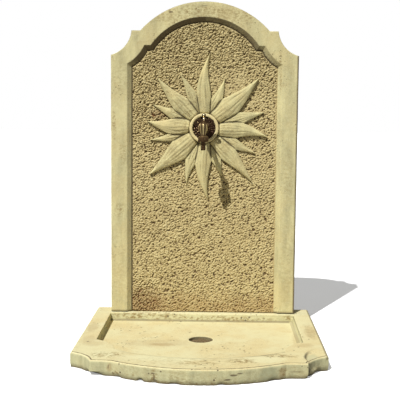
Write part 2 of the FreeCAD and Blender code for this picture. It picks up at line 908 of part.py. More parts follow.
def make_back_washer():
    body = turned_level("back_washer", [
        (room_floor, d.nipple_radius + d.thread_gap),
        (room_floor + d.back_washer_thick, d.nipple_radius + d.thread_gap),
        (room_floor + d.back_washer_thick, d.back_washer_radius),
        (room_floor, d.back_washer_radius),
    ])
    return place(body, y=panel_front, z=tap_axis)


def make_back_nut():
    body = new_body("back_nut")
    face = sketch_on(body, "XZ_Plane", "back_nut_face", -(room_floor + d.back_washer_thick))
    circle(hexagon(face, d.back_nut_flats), 0, 0, d.nipple_radius + d.thread_gap)
    pad(body, face, d.back_nut_thick, backwards=True)
    return place(body, y=panel_front, z=tap_axis)


def make_supply_socket():
    grip_end = socket_front + d.socket_grip
    inlet = grip_end + d.socket_web
    body = turned_level("supply_socket", [
        (socket_front, d.nipple_radius + d.thread_gap),
        (grip_end, d.nipple_radius + d.thread_gap),
        (grip_end, d.nipple_bore),
        (inlet, d.nipple_bore),
        (inlet, d.inlet_radius),
        (d.panel_thick, d.inlet_radius),
        (d.panel_thick, d.socket_radius),
        (socket_front, d.socket_radius),
    ])
    return place(body, y=panel_front, z=tap_axis)


# Tap body: collar, barrel, valve chamber, level run, ball and threaded nose in one casting

def make_tap_body():
    body = new_body("tap_body")
    shape_barrel(body)
    shape_chamber(body)
    shape_spout(body)
    bore_inlet(body)
    bore_seat(body)
    bore_outlet(body)
    return place(body, y=panel_front, z=tap_axis)


def shape_barrel(body):
    flange_face = tap_seat - d.flange_thick
    bead = collar_front - (d.valve_reach - d.chamber_radius + collar_front) / 2
    profile = sketch_on(body, "YZ_Plane", "barrel_profile")
    outline(profile, [
        (tap_seat, 0),
        (tap_seat, d.flange_radius),
        (flange_face, d.flange_radius),
        (collar_front, d.collar_flats / 2 - d.collar_chamfer),
        (collar_front - d.collar_neck, d.barrel_radius),
        (bead + d.barrel_bead_width / 2, d.barrel_radius),
        (bead, d.barrel_bead_radius),
        (bead - d.barrel_bead_width / 2, d.barrel_radius),
        (-d.valve_reach, d.barrel_radius),
        (-d.valve_reach, 0),
    ][::-1])
    revolve(body, profile, "H_Axis")
    collar = sketch_on(body, "XZ_Plane", "collar_hexagon", -flange_face)
    pad(body, hexagon(collar, d.collar_flats), d.collar_length)


def shape_chamber(body):
    """The upright valve chamber with a round bottom."""
    profile = sketch_on(body, "XZ_Plane", "chamber_profile", d.valve_reach)
    waist = d.chamber_radius - d.chamber_waist
    centre = d.chamber_top - d.chamber_radius - d.chamber_waist
    # a quarter circle bulges from its chord by this share of its radius
    quarter = 1 - math.sqrt(0.5)
    outline(profile, [
        (0, centre - d.chamber_radius, d.chamber_radius * quarter),
        (d.chamber_radius, centre),
        (waist, centre + d.chamber_rim),
        (waist, d.chamber_top - d.chamber_rim - d.chamber_waist),
        (d.chamber_radius, d.chamber_top - d.chamber_rim),
        (d.chamber_radius, d.chamber_top),
        (0, d.chamber_top),
    ])
    revolve(body, profile, "V_Axis")


def shape_spout(body):
    """The level run, its bead, and the ball, drop and threaded nose at its end."""
    run = sketch_on(body, "XZ_Plane", "run_section", d.valve_reach)
    pad(body, circle(run, 0, d.run_level, d.run_radius), d.spout_reach - d.valve_reach)
    middle = (d.valve_reach + d.chamber_radius + d.spout_reach - d.ball_radius) / 2
    bead = sketch_on(body, "XZ_Plane", "run_bead", middle - d.run_bead_width / 2)
    pad(body, circle(bead, 0, d.run_level, d.run_bead_radius), d.run_bead_width)
    profile = sketch_on(body, "XZ_Plane", "drop_profile", d.spout_reach)
    quarter = 1 - math.sqrt(0.5)
    drop_foot = d.ball_level - d.drop_length
    nose_foot = drop_foot - d.nose_length
    outline(profile, [
        (0, nose_foot),
        (d.nose_radius, nose_foot),
        (d.nose_radius, drop_foot),
        (d.drop_foot_radius, drop_foot),
        (d.drop_foot_radius, drop_foot + d.drop_foot_land),
        (d.ball_radius, d.ball_level, d.ball_radius * quarter),
        (0, d.ball_level + d.ball_radius),
    ])
    revolve(body, profile, "V_Axis")


def bore_inlet(body):
    """The nipple's socket, the barrel's bore and the slanting duct that ducks under the seat."""
    bore_end = -d.valve_reach + d.chamber_bore + 2
    socket_end = tap_seat - d.collar_socket_depth - d.thread_gap
    sketch = sketch_on(body, "YZ_Plane", "inlet_bore")
    outline(sketch, [
        (bore_end, 0),
        (tap_seat, 0),
        (tap_seat, d.nipple_radius + d.thread_gap),
        (socket_end, d.nipple_radius + d.thread_gap),
        (socket_end, d.inlet_bore),
        (bore_end, d.inlet_bore),
    ])
    groove(body, sketch, "H_Axis")
    duct = sketch_on(body, "YZ_Plane", "slanting_duct")
    forward = d.valve_reach - d.duct_start
    down = d.duct_drop - d.duct_start_drop
    length = (forward * forward + down * down).root()
    side = (-(down / length) * d.duct_radius, forward / length * d.duct_radius)
    start = (-d.duct_start, -d.duct_start_drop)
    end = (-d.valve_reach, -d.duct_drop)
    line = duct.addGeometry(Part.LineSegment(V(*map(number, end), 0), V(*map(number, start), 0)))
    duct.toggleConstruction(line)
    for pos, point in ((1, end), (2, start)):
        hold(duct, line, pos, "X", point[0])
        hold(duct, line, pos, "Y", point[1])
    outline(duct, [end, start, (start[0] + side[0], start[1] + side[1]),
                   (end[0] + side[0], end[1] + side[1])])
    groove(body, duct, "Axis0")


def bore_seat(body):
    """The valve chamber's bore, its raised seat and the hole through it."""
    sketch = sketch_on(body, "XZ_Plane", "seat_bore", d.valve_reach)
    foot = -d.duct_drop
    outline(sketch, [
        (0, foot),
        (d.seat_bore, foot),
        (d.seat_bore, d.seat_height),
        (d.seat_ring_radius, d.seat_height),
        (d.seat_ring_radius, d.chamber_floor),
        (d.chamber_bore, d.chamber_floor),
        (d.chamber_bore, d.chamber_top),
        (0, d.chamber_top),
    ])
    groove(body, sketch, "V_Axis")


def bore_outlet(body):
    """The bore along the level run and the one down through the nose."""
    start = d.valve_reach + d.seat_ring_radius + d.turning_gap
    run = sketch_on(body, "XZ_Plane", "run_bore", start)
    circle(run, 0, d.run_level, d.outlet_bore)
    pocket(body, run, d.spout_reach - start, backwards=True)
    drop = sketch_on(body, "XZ_Plane", "drop_bore", d.spout_reach)
    outline(drop, [
        (0, d.ball_level - d.drop_length - d.nose_length),
        (d.outlet_bore, d.ball_level - d.drop_length - d.nose_length),
        (d.outlet_bore, d.run_level + d.outlet_bore),
        (0, d.run_level + d.outlet_bore),
    ])
    groove(body, drop, "V_Axis")


# Levels of the headgear, measured from the tap's axis

washer_foot = d.seat_height + d.seat_gap
washer_top = washer_foot + d.valve_washer_thick
disc_top = washer_top + d.jumper_disc_thick
stem_top = disc_top + d.jumper_stem_length
spindle_foot = disc_top + d.turning_gap
thread_top = spindle_foot + d.spindle_thread_length
bonnet_foot = d.chamber_top - d.bonnet_plug_length
bonnet_seat = d.chamber_top + d.bonnet_washer_thick
hex_top = bonnet_seat + d.bonnet_hex_thick
neck_top = hex_top + d.bonnet_neck_length
packing_floor = neck_top - d.packing_pocket
packing_top = packing_floor + d.packing_thick
gland_top = neck_top + d.gland_cap
hub_foot = gland_top + d.handle_gap
hub_top = hub_foot + d.handle_hub_height


def on_valve(body):
    return place(body, y=valve_line, z=tap_axis)


def make_valve_washer():
    return on_valve(turned_upright("valve_washer", [
        (d.jumper_stem_radius + d.fit_gap, washer_foot),
        (d.valve_washer_radius, washer_foot),
        (d.valve_washer_radius, washer_top),
        (d.jumper_stem_radius + d.fit_gap, washer_top),
    ]))


def make_jumper_valve():
    """A disc that carries the washer, with a stem up into the spindle and a stud down."""
    stud_foot = washer_foot - d.washer_nut_thick - d.jumper_stud_end
    return on_valve(turned_upright("jumper_valve", [
        (0, stud_foot),
        (d.jumper_stem_radius, stud_foot),
        (d.jumper_stem_radius, washer_top),
        (d.jumper_disc_radius, washer_top),
        (d.jumper_disc_radius, disc_top),
        (d.jumper_stem_radius, disc_top),
        (d.jumper_stem_radius, stem_top),
        (0, stem_top),
    ]))


def make_washer_nut():
    body = new_body("washer_nut")
    face = sketch_on(body, "XY_Plane", "washer_nut_face", washer_foot - d.washer_nut_thick)
    hexagon(face, d.washer_nut_radius * math.sqrt(3))
    pad(body, circle(face, 0, 0, d.jumper_stem_radius + d.fit_gap), d.washer_nut_thick)
    return on_valve(body)


def make_spindle():
    body = turned_upright("spindle", [
        (0, spindle_foot),
        (d.spindle_thread_radius, spindle_foot),
        (d.spindle_thread_radius, thread_top),
        (d.spindle_radius, thread_top),
        (d.spindle_radius, hub_foot),
        (d.stud_radius, hub_foot),
        (d.stud_radius, hub_top + d.stud_length),
        (0, hub_top + d.stud_length),
    ])
    square = sketch_on(body, "XY_Plane", "drive_square_section", hub_foot)
    half = d.drive_square / 2
    pad(body, rectangle(square, d.drive_square, -half, half), d.handle_hub_height)
    bore = sketch_on(body, "XY_Plane", "stem_bore", spindle_foot)
    circle(bore, 0, 0, d.jumper_stem_radius + d.running_gap)
    pocket(body, bore, d.spindle_bore_depth, backwards=True)
    return on_valve(body)


def make_bonnet_washer():
    return on_valve(turned_upright("bonnet_washer", [
        (d.chamber_bore + d.thread_gap, d.chamber_top),
        (d.bonnet_washer_radius, d.chamber_top),
        (d.bonnet_washer_radius, bonnet_seat),
        (d.chamber_bore + d.thread_gap, bonnet_seat),
    ]))


def make_bonnet():
    body = turned_upright("bonnet", [
        (d.bonnet_relief_radius, bonnet_foot),
        (d.chamber_bore - d.fit_gap, bonnet_foot),
        (d.chamber_bore - d.fit_gap, bonnet_seat),
        (d.bonnet_flats / 2, bonnet_seat),
        (d.bonnet_flats / 2, hex_top),
        (d.bonnet_neck_radius, hex_top),
        (d.bonnet_neck_radius, neck_top),
        (d.packing_radius, neck_top),
        (d.packing_radius, packing_floor),
        (d.spindle_radius + d.running_gap, packing_floor),
        (d.spindle_radius + d.running_gap, packing_floor - d.bonnet_web),
        (d.spindle_thread_radius + d.running_gap, packing_floor - d.bonnet_web),
        (d.spindle_thread_radius + d.running_gap, bonnet_foot + d.bonnet_relief_depth),
        (d.bonnet_relief_radius, bonnet_foot + d.bonnet_relief_depth),
    ])
    face = sketch_on(body, "XY_Plane", "bonnet_hexagon", bonnet_seat)
    hexagon(face, d.bonnet_flats)
    pad(body, circle(face, 0, 0, d.bonnet_neck_radius), d.bonnet_hex_thick)
    return on_valve(body)


def make_gland_packing():
    return on_valve(turned_upright("gland_packing", [
        (d.spindle_radius + d.running_gap, packing_floor),
        (d.packing_radius - d.fit_gap, packing_floor),
        (d.packing_radius - d.fit_gap, packing_top),
        (d.spindle_radius + d.running_gap, packing_top),
    ]))


def make_gland_nut():
    """A cap nut on the bonnet's neck, with a sleeve that presses on the packing."""
    body = new_body("gland_nut")
    face = sketch_on(body, "XY_Plane", "gland_nut_face", hex_top)
    pad(body, hexagon(face, d.gland_flats), gland_top - hex_top)
    room = sketch_on(body, "XZ_Plane", "gland_room")
    outline(room, [
        (0, hex_top),
        (d.bonnet_neck_radius + d.fit_gap, hex_top),
        (d.bonnet_neck_radius + d.fit_gap, neck_top + d.fit_gap),
        (d.packing_radius - d.fit_gap, neck_top + d.fit_gap),
        (d.packing_radius - d.fit_gap, neck_top),
        (d.spindle_radius + d.running_gap, neck_top),
        (d.spindle_radius + d.running_gap, gland_top),
        (0, gland_top),
    ])
    groove(body, room, "V_Axis")
    sleeve = sketch_on(body, "XY_Plane", "gland_sleeve", packing_top)
    circle(sleeve, 0, 0, d.packing_radius - d.fit_gap)
    circle(sleeve, 0, 0, d.spindle_radius + d.running_gap)
    pad(body, sleeve, neck_top - packing_top)
    return on_valve(body)


# Butterfly handle and finial

def make_handle():
    body = new_body("butterfly_handle")
    hub = sketch_on(body, "XY_Plane", "handle_hub", hub_foot)
    circle(hub, 0, 0, d.handle_hub_radius)
    half = (d.drive_square + d.thread_gap) / 2
    pad(body, rectangle(hub, half * 2, -half, half), d.handle_hub_height)
    wings = sketch_on(body, "XZ_Plane", "handle_wings", -(d.wing_thick / 2))
    for side in (1, -1):
        wing(wings, side)
    pad(body, wings, d.wing_thick)
    return on_valve(body)


def wing(sketch, side):
    """One drooping wing with a finger hole; its root ends inside the hub, clear of the square."""
    root = d.handle_hub_radius - d.wing_gap
    clear = d.bonnet_flats / math.sqrt(3) + d.wing_gap
    shoulder = d.wing_span - d.wing_reach
    corners = [
        (root, hub_foot + d.wing_rise),
        (clear - d.wing_slope, hub_foot + d.wing_rise),
        (clear, d.wing_droop + d.wing_slope, d.wing_gap),
        (shoulder, d.wing_droop, d.wing_crown),
        (d.wing_span, (hub_foot + d.wing_droop) / 2 + d.wing_slope, d.wing_crown),
        (shoulder, hub_top, -d.wing_dip),
        (root, hub_top - d.wing_rise),
    ]
    if side < 0:
        corners = flipped(corners)
    outline(sketch, corners)
    circle(sketch, (d.wing_span + clear) / 2 * side, (hub_top + d.wing_droop) / 2, d.wing_hole_radius)


def flipped(corners):
    """Mirror a loop in the sketch's upright axis and keep it anticlockwise."""
    count = len(corners)
    turned = []
    for index in range(count):
        corner = corners[-index - 1]
        before = corners[(-index - 2) % count]
        turned.append((-corner[0], corner[1]) + before[2:])
    return turned


def make_finial():
    neck_foot = hub_top + d.finial_cove * 2
    knob_foot = hub_top + d.finial_neck_length
    top = hub_top + d.finial_length
    bore_end = hub_top + d.stud_length + d.finial_bore_end
    return on_valve(turned_upright("handle_finial", [
        (d.stud_radius + d.fit_gap, hub_top),
        (d.finial_foot_radius, hub_top),
        (d.finial_neck_radius, neck_foot),
        (d.finial_neck_radius, knob_foot - d.finial_cove),
        (d.finial_radius, knob_foot + d.finial_cove),
        (d.finial_radius, top - d.finial_bevel),
        (d.finial_radius - d.finial_bevel, top),
        (0, top),
        (0, bore_end),
        (d.stud_radius + d.fit_gap, bore_end),
    ]))


# Hose union under the spout

nose_foot = d.ball_level - d.drop_length - d.nose_length
collar_top = nose_foot - d.union_washer_thick
collar_foot = collar_top - d.tail_collar_thick


def on_spout(body):
    return place(body, y=spout_line, z=tap_axis)


def make_union_washer():
    return on_spout(turned_upright("union_washer", [
        (d.outlet_bore, collar_top),
        (d.tail_collar_radius, collar_top),
        (d.tail_collar_radius, nose_foot),
        (d.outlet_bore, nose_foot),
    ]))


def make_union_nut():
    top = d.ball_level - d.drop_length - d.union_top_gap
    foot = collar_foot - d.union_lip
    body = new_body("union_nut")
    face = sketch_on(body, "XY_Plane", "union_nut_face", foot)
    pad(body, hexagon(face, d.union_flats), top - foot)
    room = sketch_on(body, "XZ_Plane", "union_room")
    outline(room, [
        (0, foot),
        (d.barb_radius + d.turning_gap, foot),
        (d.barb_radius + d.turning_gap, collar_foot),
        (d.nose_radius + d.thread_gap, collar_foot),
        (d.nose_radius + d.thread_gap, top),
        (0, top),
    ])
    groove(body, room, "V_Axis")
    return on_spout(body)


def make_hose_tail():
    """The tail's collar, a plain neck and a row of barbs, bored through."""
    foot = collar_foot - d.tail_length + d.tail_collar_thick
    barbs = 3
    corners = [(d.outlet_bore, foot), (d.tail_radius, foot)]
    for step in range(barbs):
        level = foot + d.barb_pitch * step
        corners.append((d.barb_radius, level + d.barb_pitch * 0.5))
        corners.append((d.barb_radius, level + d.barb_pitch * 0.8))
        corners.append((d.tail_radius, level + d.barb_pitch * 0.9))
    corners += [
        (d.tail_radius, collar_foot),
        (d.tail_collar_radius, collar_foot),
        (d.tail_collar_radius, collar_top),
        (d.outlet_bore, collar_top),
    ]
    return on_spout(turned_upright("hose_tail", corners))


def build():
    make_basin()
    make_mortar_bed()
    make_dowels()
    make_wall_panel()
    make_hanger_plates()
    make_hanger_screws()
    make_screw_plugs()
    make_sunflower_relief()
    make_flower_ring()
    make_rosette()
    make_nipple()
    make_back_washer()
    make_back_nut()
    make_supply_socket()
    make_tap_body()
    make_valve_washer()
    make_jumper_valve()
    make_washer_nut()
    make_spindle()
    make_bonnet_washer()
    make_bonnet()
    make_gland_packing()
    make_gland_nut()
    make_handle()
    make_finial()
    make_union_washer()
    make_union_nut()
    make_hose_tail()
    doc.recompute()


def check():
    failed = [item.Label for item in doc.Objects if {"Invalid", "Error"} & set(item.State)]
    if failed:
        raise RuntimeError("failed: " + ", ".join(failed))
    for item in subparts:
        if item.Shape.isNull() or not item.Shape.isValid() or not item.Shape.Solids:
            raise RuntimeError("%s has no valid shape" % item.Label)


def export():
    os.makedirs("parts", exist_ok=True)
    for item in subparts:
        item.Shape.exportStep("parts/%s.step" % item.Label)
        box = item.Shape.BoundBox
        print("%-18s %d solid(s) %10.1f mm3  x %7.1f %7.1f  y %7.1f %7.1f  z %7.1f %7.1f" % (
            item.Label, len(item.Shape.Solids), item.Shape.Volume, box.XMin, box.XMax,
            box.YMin, box.YMax, box.ZMin, box.ZMax))


build()
check()
export()
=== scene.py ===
# %% [markdown]
# # A garden wall fountain in cast stone and brass
# A tall moulded panel stands on a low basin with a bowed front. The panel's sunk field is rough,
# a sunflower grows out of it, and a small brass tap comes out of the flower's heart. The sizes
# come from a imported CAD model, which we load first and never change. Each piece that shows is
# then modelled again over its CAD solid, with the wear and grain that a solid lacks.

# %% Load the frame
import json
import math

import bmesh
import bpy
from mathutils import Matrix, Vector, noise, geometry


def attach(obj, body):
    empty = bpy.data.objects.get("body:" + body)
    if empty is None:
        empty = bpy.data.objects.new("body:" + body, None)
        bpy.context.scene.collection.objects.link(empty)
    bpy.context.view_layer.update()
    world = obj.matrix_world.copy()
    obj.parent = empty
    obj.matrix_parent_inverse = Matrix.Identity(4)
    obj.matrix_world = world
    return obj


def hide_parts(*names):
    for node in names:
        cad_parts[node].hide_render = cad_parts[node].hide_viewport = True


noise.seed_set(5)
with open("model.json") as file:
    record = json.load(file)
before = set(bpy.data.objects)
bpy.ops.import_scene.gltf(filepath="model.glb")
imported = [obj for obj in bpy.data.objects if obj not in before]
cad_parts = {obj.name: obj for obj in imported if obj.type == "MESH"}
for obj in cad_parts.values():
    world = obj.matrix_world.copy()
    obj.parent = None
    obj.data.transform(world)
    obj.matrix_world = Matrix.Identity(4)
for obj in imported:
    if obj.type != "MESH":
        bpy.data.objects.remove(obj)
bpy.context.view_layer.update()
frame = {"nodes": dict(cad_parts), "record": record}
MM = 0.001

# %% [markdown]
# ## Drawing an outline
# The basin and the panel are both slabs cut to a drawn shape: straight runs, hollow coves and one
# long bow. A draughtsman gives an arc by its two ends and its sagitta, the height of its middle
# over the chord. We do the same. One vertex starts the line, `extrude_vert_indiv` draws a
# straight run and `spin` swings an arc, so no list of points is worked out by hand.

# %% Lines and arcs
def arc_centre(start, end, bow):
    """Centre, signed sweep and radius of the arc whose middle lies `bow` right of its chord."""
    chord = end - start
    half = chord.length / 2
    radius = (half * half + bow * bow) / (2 * abs(bow))
    right = Vector((chord.y, -chord.x)).normalized()
    centre = (start + end) / 2 + right * (bow - math.copysign(radius, bow))
    sweep = 2 * math.asin(half / radius)
    return centre, math.copysign(sweep, bow), radius


EVEN_STEPS = 24


def lift(plane, point, level):
    """Put a drawn point on a level plane (XY) or on an upright one (XZ)."""
    return Vector((point[0], *((point[1], level) if plane == "XY" else (level, point[1]))))


def trace(bm, corners, plane, level, step=0.006):
    """Draw a closed outline and fill it. A corner's third value bows the edge that follows it.

    An arc has a point every `step`, or EVEN_STEPS where a ring is to be bridged to another."""
    axis = Vector((0, 0, 1)) if plane == "XY" else Vector((0, -1, 0))
    points = [Vector(corner[:2]) for corner in corners]
    last = first = bmesh.ops.create_vert(bm, co=lift(plane, points[0], level))["vert"][0]
    drawn = [first]
    for index, corner in enumerate(corners):
        end = points[(index + 1) % len(points)]
        if len(corner) == 2:
            last = bmesh.ops.extrude_vert_indiv(bm, verts=[last])["verts"][0]
            last.co = lift(plane, end, level)
            drawn.append(last)
            continue
        centre, sweep, radius = arc_centre(points[index], end, corner[2])
        steps = max(3, math.ceil(radius * abs(sweep) / step)) if step else EVEN_STEPS
        before = set(bm.verts)
        swung = bmesh.ops.spin(bm, geom=[last], cent=lift(plane, centre, level), axis=axis,
                               angle=sweep, steps=steps, use_merge=False, use_duplicate=False)
        last = verts_of(swung["geom_last"])[0]
        drawn += [vert for vert in bm.verts if vert not in before]
    bmesh.ops.remove_doubles(bm, verts=drawn, dist=1e-6)
    drawn = [vert for vert in drawn if vert.is_valid]
    return bmesh.ops.contextual_create(bm, geom=edges_around(drawn))["faces"][0]


def scaled(corners):
    """Millimetres to metres, bows included."""
    return [tuple(value * MM for value in corner) for corner in corners]


# %% Small helpers
def put_in(name, data):
    """Make an object of a mesh, a lamp or a camera, and put it in the scene."""
    made = bpy.data.objects.new(name, data)
    bpy.context.scene.collection.objects.link(made)
    return made


def mesh_of(bm, name):
    """Turn a bmesh into a mesh, and let go of it."""
    mesh = bpy.data.meshes.new(name)
    bm.to_mesh(mesh)
    bm.free()
    return mesh


def finish_piece(bm, name, finish, body="fountain", replaces=(), smooth=40):
    """Write a bmesh into an object that rides on a body and wears a finish."""
    mesh = mesh_of(bm, name)
    mesh.shade_smooth()
    mesh.set_sharp_from_angle(angle=math.radians(smooth))
    mesh.materials.append(finish)
    piece = put_in(name, mesh)
    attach(piece, body)
    if replaces:
        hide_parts(*replaces)
    print("%-16s %6d faces" % (name, len(mesh.polygons)))


def verts_of(geom):
    return [item for item in geom if isinstance(item, bmesh.types.BMVert)]


def edges_of(geom):
    return [item for item in geom if isinstance(item, bmesh.types.BMEdge)]


def once(items):
    """The items without repeats, in the order in which they came."""
    return list(dict.fromkeys(items))


def edges_around(verts):
    return once(edge for vert in verts for edge in vert.link_edges)


def push(bm, faces, offset):
    """Extrude faces and move the new ones by an offset."""
    made = bmesh.ops.extrude_face_region(bm, geom=faces)["geom"]
    bmesh.ops.translate(bm, verts=verts_of(made), vec=Vector(offset))


def round_edges(bm, edges, size, segments=4):
    bmesh.ops.bevel(bm, geom=edges, offset=size, segments=segments, profile=0.5, affect="EDGES",
                    material=-1, clamp_overlap=True)


def slice_up(bm, axis, start, stop, step):
    """Cut the whole mesh with parallel planes, so that its surface has points to move."""
    normal = Vector([1.0 if index == axis else 0.0 for index in range(3)])
    count = int((stop - start) / step)
    for index in range(1, count):
        plane = normal * (start + (stop - start) * index / count)
        bmesh.ops.bisect_plane(bm, geom=bm.verts[:] + bm.edges[:] + bm.faces[:], dist=1e-6,
                               plane_co=plane, plane_no=normal)


def carve(bm, cutters):
    """Subtract closed cutters from a bmesh with Blender's exact boolean."""
    body = put_in("carving", mesh_of(bm.copy(), "carving"))
    tools = []
    for cutter in cutters:
        bmesh.ops.recalc_face_normals(cutter, faces=cutter.faces[:])
        tool = put_in("cutter", mesh_of(cutter, "cutter"))
        modifier = body.modifiers.new("cut", "BOOLEAN")
        modifier.operation = "DIFFERENCE"
        modifier.solver = "EXACT"
        modifier.object = tool
        tools.append(tool)
    graph = bpy.context.evaluated_depsgraph_get()
    carved = bpy.data.meshes.new_from_object(body.evaluated_get(graph))
    bm.clear()
    bm.from_mesh(carved)
    for mesh in [body.data, *(tool.data for tool in tools), carved]:
        bpy.data.meshes.remove(mesh)


# %% [markdown]
# ## Materials as expressions
# A node tree is easier to read as a formula. `Socket` wraps one output of a node, and adding or
# multiplying two of them adds the Math node that does it. `Finish` makes the nodes and holds the
# patterns that all the stone shares, such as speckle, soft spots and pits.

# %% Shader arithmetic
class Socket:
    """A node output that joins in Python arithmetic."""

    def __init__(self, finish, output):
        self.finish, self.output = finish, output

    def __add__(self, other):
        return self.finish.math("ADD", self, other)

    def __sub__(self, other):
        return self.finish.math("SUBTRACT", self, other)

    def __rsub__(self, other):
        return self.finish.math("SUBTRACT", other, self)

    def __mul__(self, other):
        return self.finish.math("MULTIPLY", self, other)

    __radd__ = __add__
    __rmul__ = __mul__


class Finish:
    """A material, or the surround, written as expressions on its own sockets."""

    def __init__(self, name, owner=None):
        self.owner = owner or bpy.data.materials.new(name)
        self.owner.use_nodes = True
        self.tree = self.owner.node_tree
        self.tree.nodes.clear()
        if not owner:
            self.place = self.node("ShaderNodeTexCoord", out="Object")

    def node(self, kind, settings=None, inputs=None, out=0):
        made = self.tree.nodes.new(kind)
        for key, value in (settings or {}).items():
            setattr(made, key, value)
        for key, value in (inputs or {}).items():
            if isinstance(value, Socket):
                self.tree.links.new(value.output, made.inputs[key])
            else:
                made.inputs[key].default_value = value
        return Socket(self, made.outputs[out]) if len(made.outputs) else None

    def math(self, operation, first, second):
        return self.node("ShaderNodeMath", {"operation": operation}, {0: first, 1: second})

    def noise(self, scale, detail=4.0, rough=0.55, place=None, twist=0.0):
        """Cloudy grain; scale is in cycles for each metre."""
        return self.node("ShaderNodeTexNoise", None, {
            "Vector": place or self.place, "Scale": scale, "Detail": detail, "Roughness": rough,
            "Distortion": twist})

    def cells(self, scale):
        """Distance to the nearest of many scattered points."""
        return self.node("ShaderNodeTexVoronoi", None, {"Vector": self.place, "Scale": scale},
                         "Distance")

    def step(self, value, low, high, start=0.0, end=1.0):
        """A smooth step of a value from start below low to end above high."""
        return self.node("ShaderNodeMapRange", {"interpolation_type": "SMOOTHSTEP"}, {
            "Value": value, "From Min": low, "From Max": high, "To Min": start, "To Max": end})

    def mix(self, share, first, second):
        """Blend two colours."""
        first, second = ((*item, 1) if isinstance(item, tuple) else item
                         for item in (first, second))
        return self.node("ShaderNodeMix", {"data_type": "RGBA"}, {0: share, 6: first, 7: second}, 2)

    def stretch(self, amounts, place=None):
        return self.node("ShaderNodeVectorMath", {"operation": "MULTIPLY"}, {
            0: place or self.place, 1: amounts})

    def spot(self, centre, size, ragged=0.35):
        """A soft spot around a point, with a ragged edge; centre and half sizes in millimetres."""
        apart = self.node("ShaderNodeVectorMath", {"operation": "SUBTRACT"}, {
            0: self.place, 1: tuple(value * MM for value in centre)})
        apart = self.stretch(tuple(1 / (value * MM) for value in size), apart)
        far = self.node("ShaderNodeVectorMath", {"operation": "LENGTH"}, {0: apart}, "Value")
        return self.step(far + (self.noise(90) - 0.5) * (ragged * 2.5), 0.45, 1.0, 1.0, 0.0)

    def painted(self, name):
        """A number that was painted on the mesh's points."""
        return self.node("ShaderNodeAttribute", {"attribute_name": name}, None, "Fac")

    def bump(self, height, depth_mm, before=None):
        inputs = {"Height": height, "Strength": 1.0, "Distance": depth_mm * MM}
        if before is not None:
            inputs["Normal"] = before
        return self.node("ShaderNodeBump", None, inputs, "Normal")

    def surface(self, **values):
        """Close a material's tree with a Principled surface."""
        inputs = {key.replace("_", " "): value for key, value in values.items()}
        shader = self.node("ShaderNodeBsdfPrincipled", None, inputs)
        return self.close("ShaderNodeOutputMaterial", shader)

    def close(self, kind, shader):
        """End the tree in an output node, which has no output of its own."""
        self.node(kind, None, {"Surface": shader})
        return self.owner


# %% [markdown]
# ## Cast stone
# The real stone is a pale, sandy cream. Weather has turned upright faces greenish grey, and they
# are painted darker than level faces as well, as painted shade; rain has left brown stains where it
# stands, and the cast surface is full of pinholes. All four finishes share one function, because it
# is one stone: only its age and its place differ. Dirt and painted shade that follow an edge come
# from a number painted on the mesh, everything else from noise.

# %% Stone finishes
CREAM = (0.625, 0.57, 0.32)
WARM = (0.60, 0.505, 0.255)
BROWN = (0.33, 0.215, 0.085)
DARK = (0.11, 0.08, 0.04)
GREEN = (0.36, 0.37, 0.22)
PALE = (0.66, 0.625, 0.37)
SPECKLE = (0.70, 0.65, 0.42)
MARKS = {"clean": PALE, "green": GREEN, "spots": BROWN, "mottled": (0.27, 0.195, 0.075),
         "cracks": DARK}


def cast_stone(name, pale, weathered_and_shaded_upright, stain, pits, freckled=0.3, shade_and_grime=(0.095, 0.066, 0.027),
               **marks):
    """Weathered cast stone: its level and upright tones, with upright faces painted darker as
    shade, and where it is marked.

    Each mark is a spot's centre, its half sizes in millimetres, and its strength."""
    stone = Finish(name)
    fine = stone.noise(240, 3, 0.6)
    level = stone.mix(stone.step(stone.noise(9, 5, 0.6), 0.35, 0.7), pale, WARM)
    streaks = stone.step(stone.noise(34, 5, 0.65, stone.stretch((1.0, 1.0, 0.25))), 0.28, 0.74)
    paler, darker, warmer = (tuple(value * tint for value, tint in zip(weathered_and_shaded_upright, tints))
                             for tints in ((1.20,) * 3, (0.80,) * 3, (1.04, 0.94, 0.84)))
    standing = stone.mix(streaks, paler, darker)
    standing = stone.mix(stone.step(stone.noise(13, 4, 0.6), 0.42, 0.7) * 0.5, standing, warmer)
    # Upright faces take the upright tone: weathering, and painted shade that keeps them darker than
    # level faces.
    facing = stone.node("ShaderNodeNewGeometry", out="Normal")
    up = stone.node("ShaderNodeSeparateXYZ", None, {0: facing}, "Z")
    colour = stone.mix(stone.step(up, 0.25, 0.85, 1.0, 0.0), level, standing)
    colour = stone.mix(stone.step(fine, 0.4, 0.8) * 0.25, colour, SPECKLE)
    stained = stone.step(stone.noise(22, 6, 0.7, twist=0.6), 0.56, 0.74) * stain
    colour = stone.mix(stained, colour, BROWN)
    freckles = stone.step(stone.noise(330, 4, 0.75), 0.50, 0.66) * freckled
    colour = stone.mix(freckles * stone.step(stone.noise(18, 4, 0.6), 0.35, 0.65), colour, BROWN)
    rust = stone.step(stone.noise(110, 6, 0.72, stone.stretch((0.7, 1.0, 1.2))), 0.45, 0.60)
    for kind, tint in MARKS.items():
        for *place, share in marks.get(kind, ()):
            mark = stone.spot(place[:3], place[3:], 0.6 if kind == "cracks" else 0.35) * share
            colour = stone.mix(mark * rust if kind == "mottled" else mark, colour, tint)
    # The number painted on the mesh darkens edges: real dirt lines, and painted shade in creases,
    # under edges and on sides turned from the light.
    dirt_and_shade = stone.painted("dirt_and_shade") * stone.step(stone.noise(38, 5, 0.75), 0.14, 0.38)
    colour = stone.mix(dirt_and_shade, colour, shade_and_grime)
    holes = stone.step(stone.cells(pits), 0.12, 0.19, 1.0, 0.0)
    holes *= stone.step(stone.noise(11, 2), 0.52, 0.62)
    colour = stone.mix(holes * 0.85, colour, DARK)
    grain = stone.bump(fine * 0.5 + stone.noise(900, 2, 0.5) * 0.25, 0.5)
    worn = stone.bump(stone.noise(60, 6, 0.6), 1.4, grain)
    pocked = stone.bump(holes * -1.0, 1.5, worn)
    return stone.surface(Base_Color=colour, Roughness=0.92, Normal=pocked)


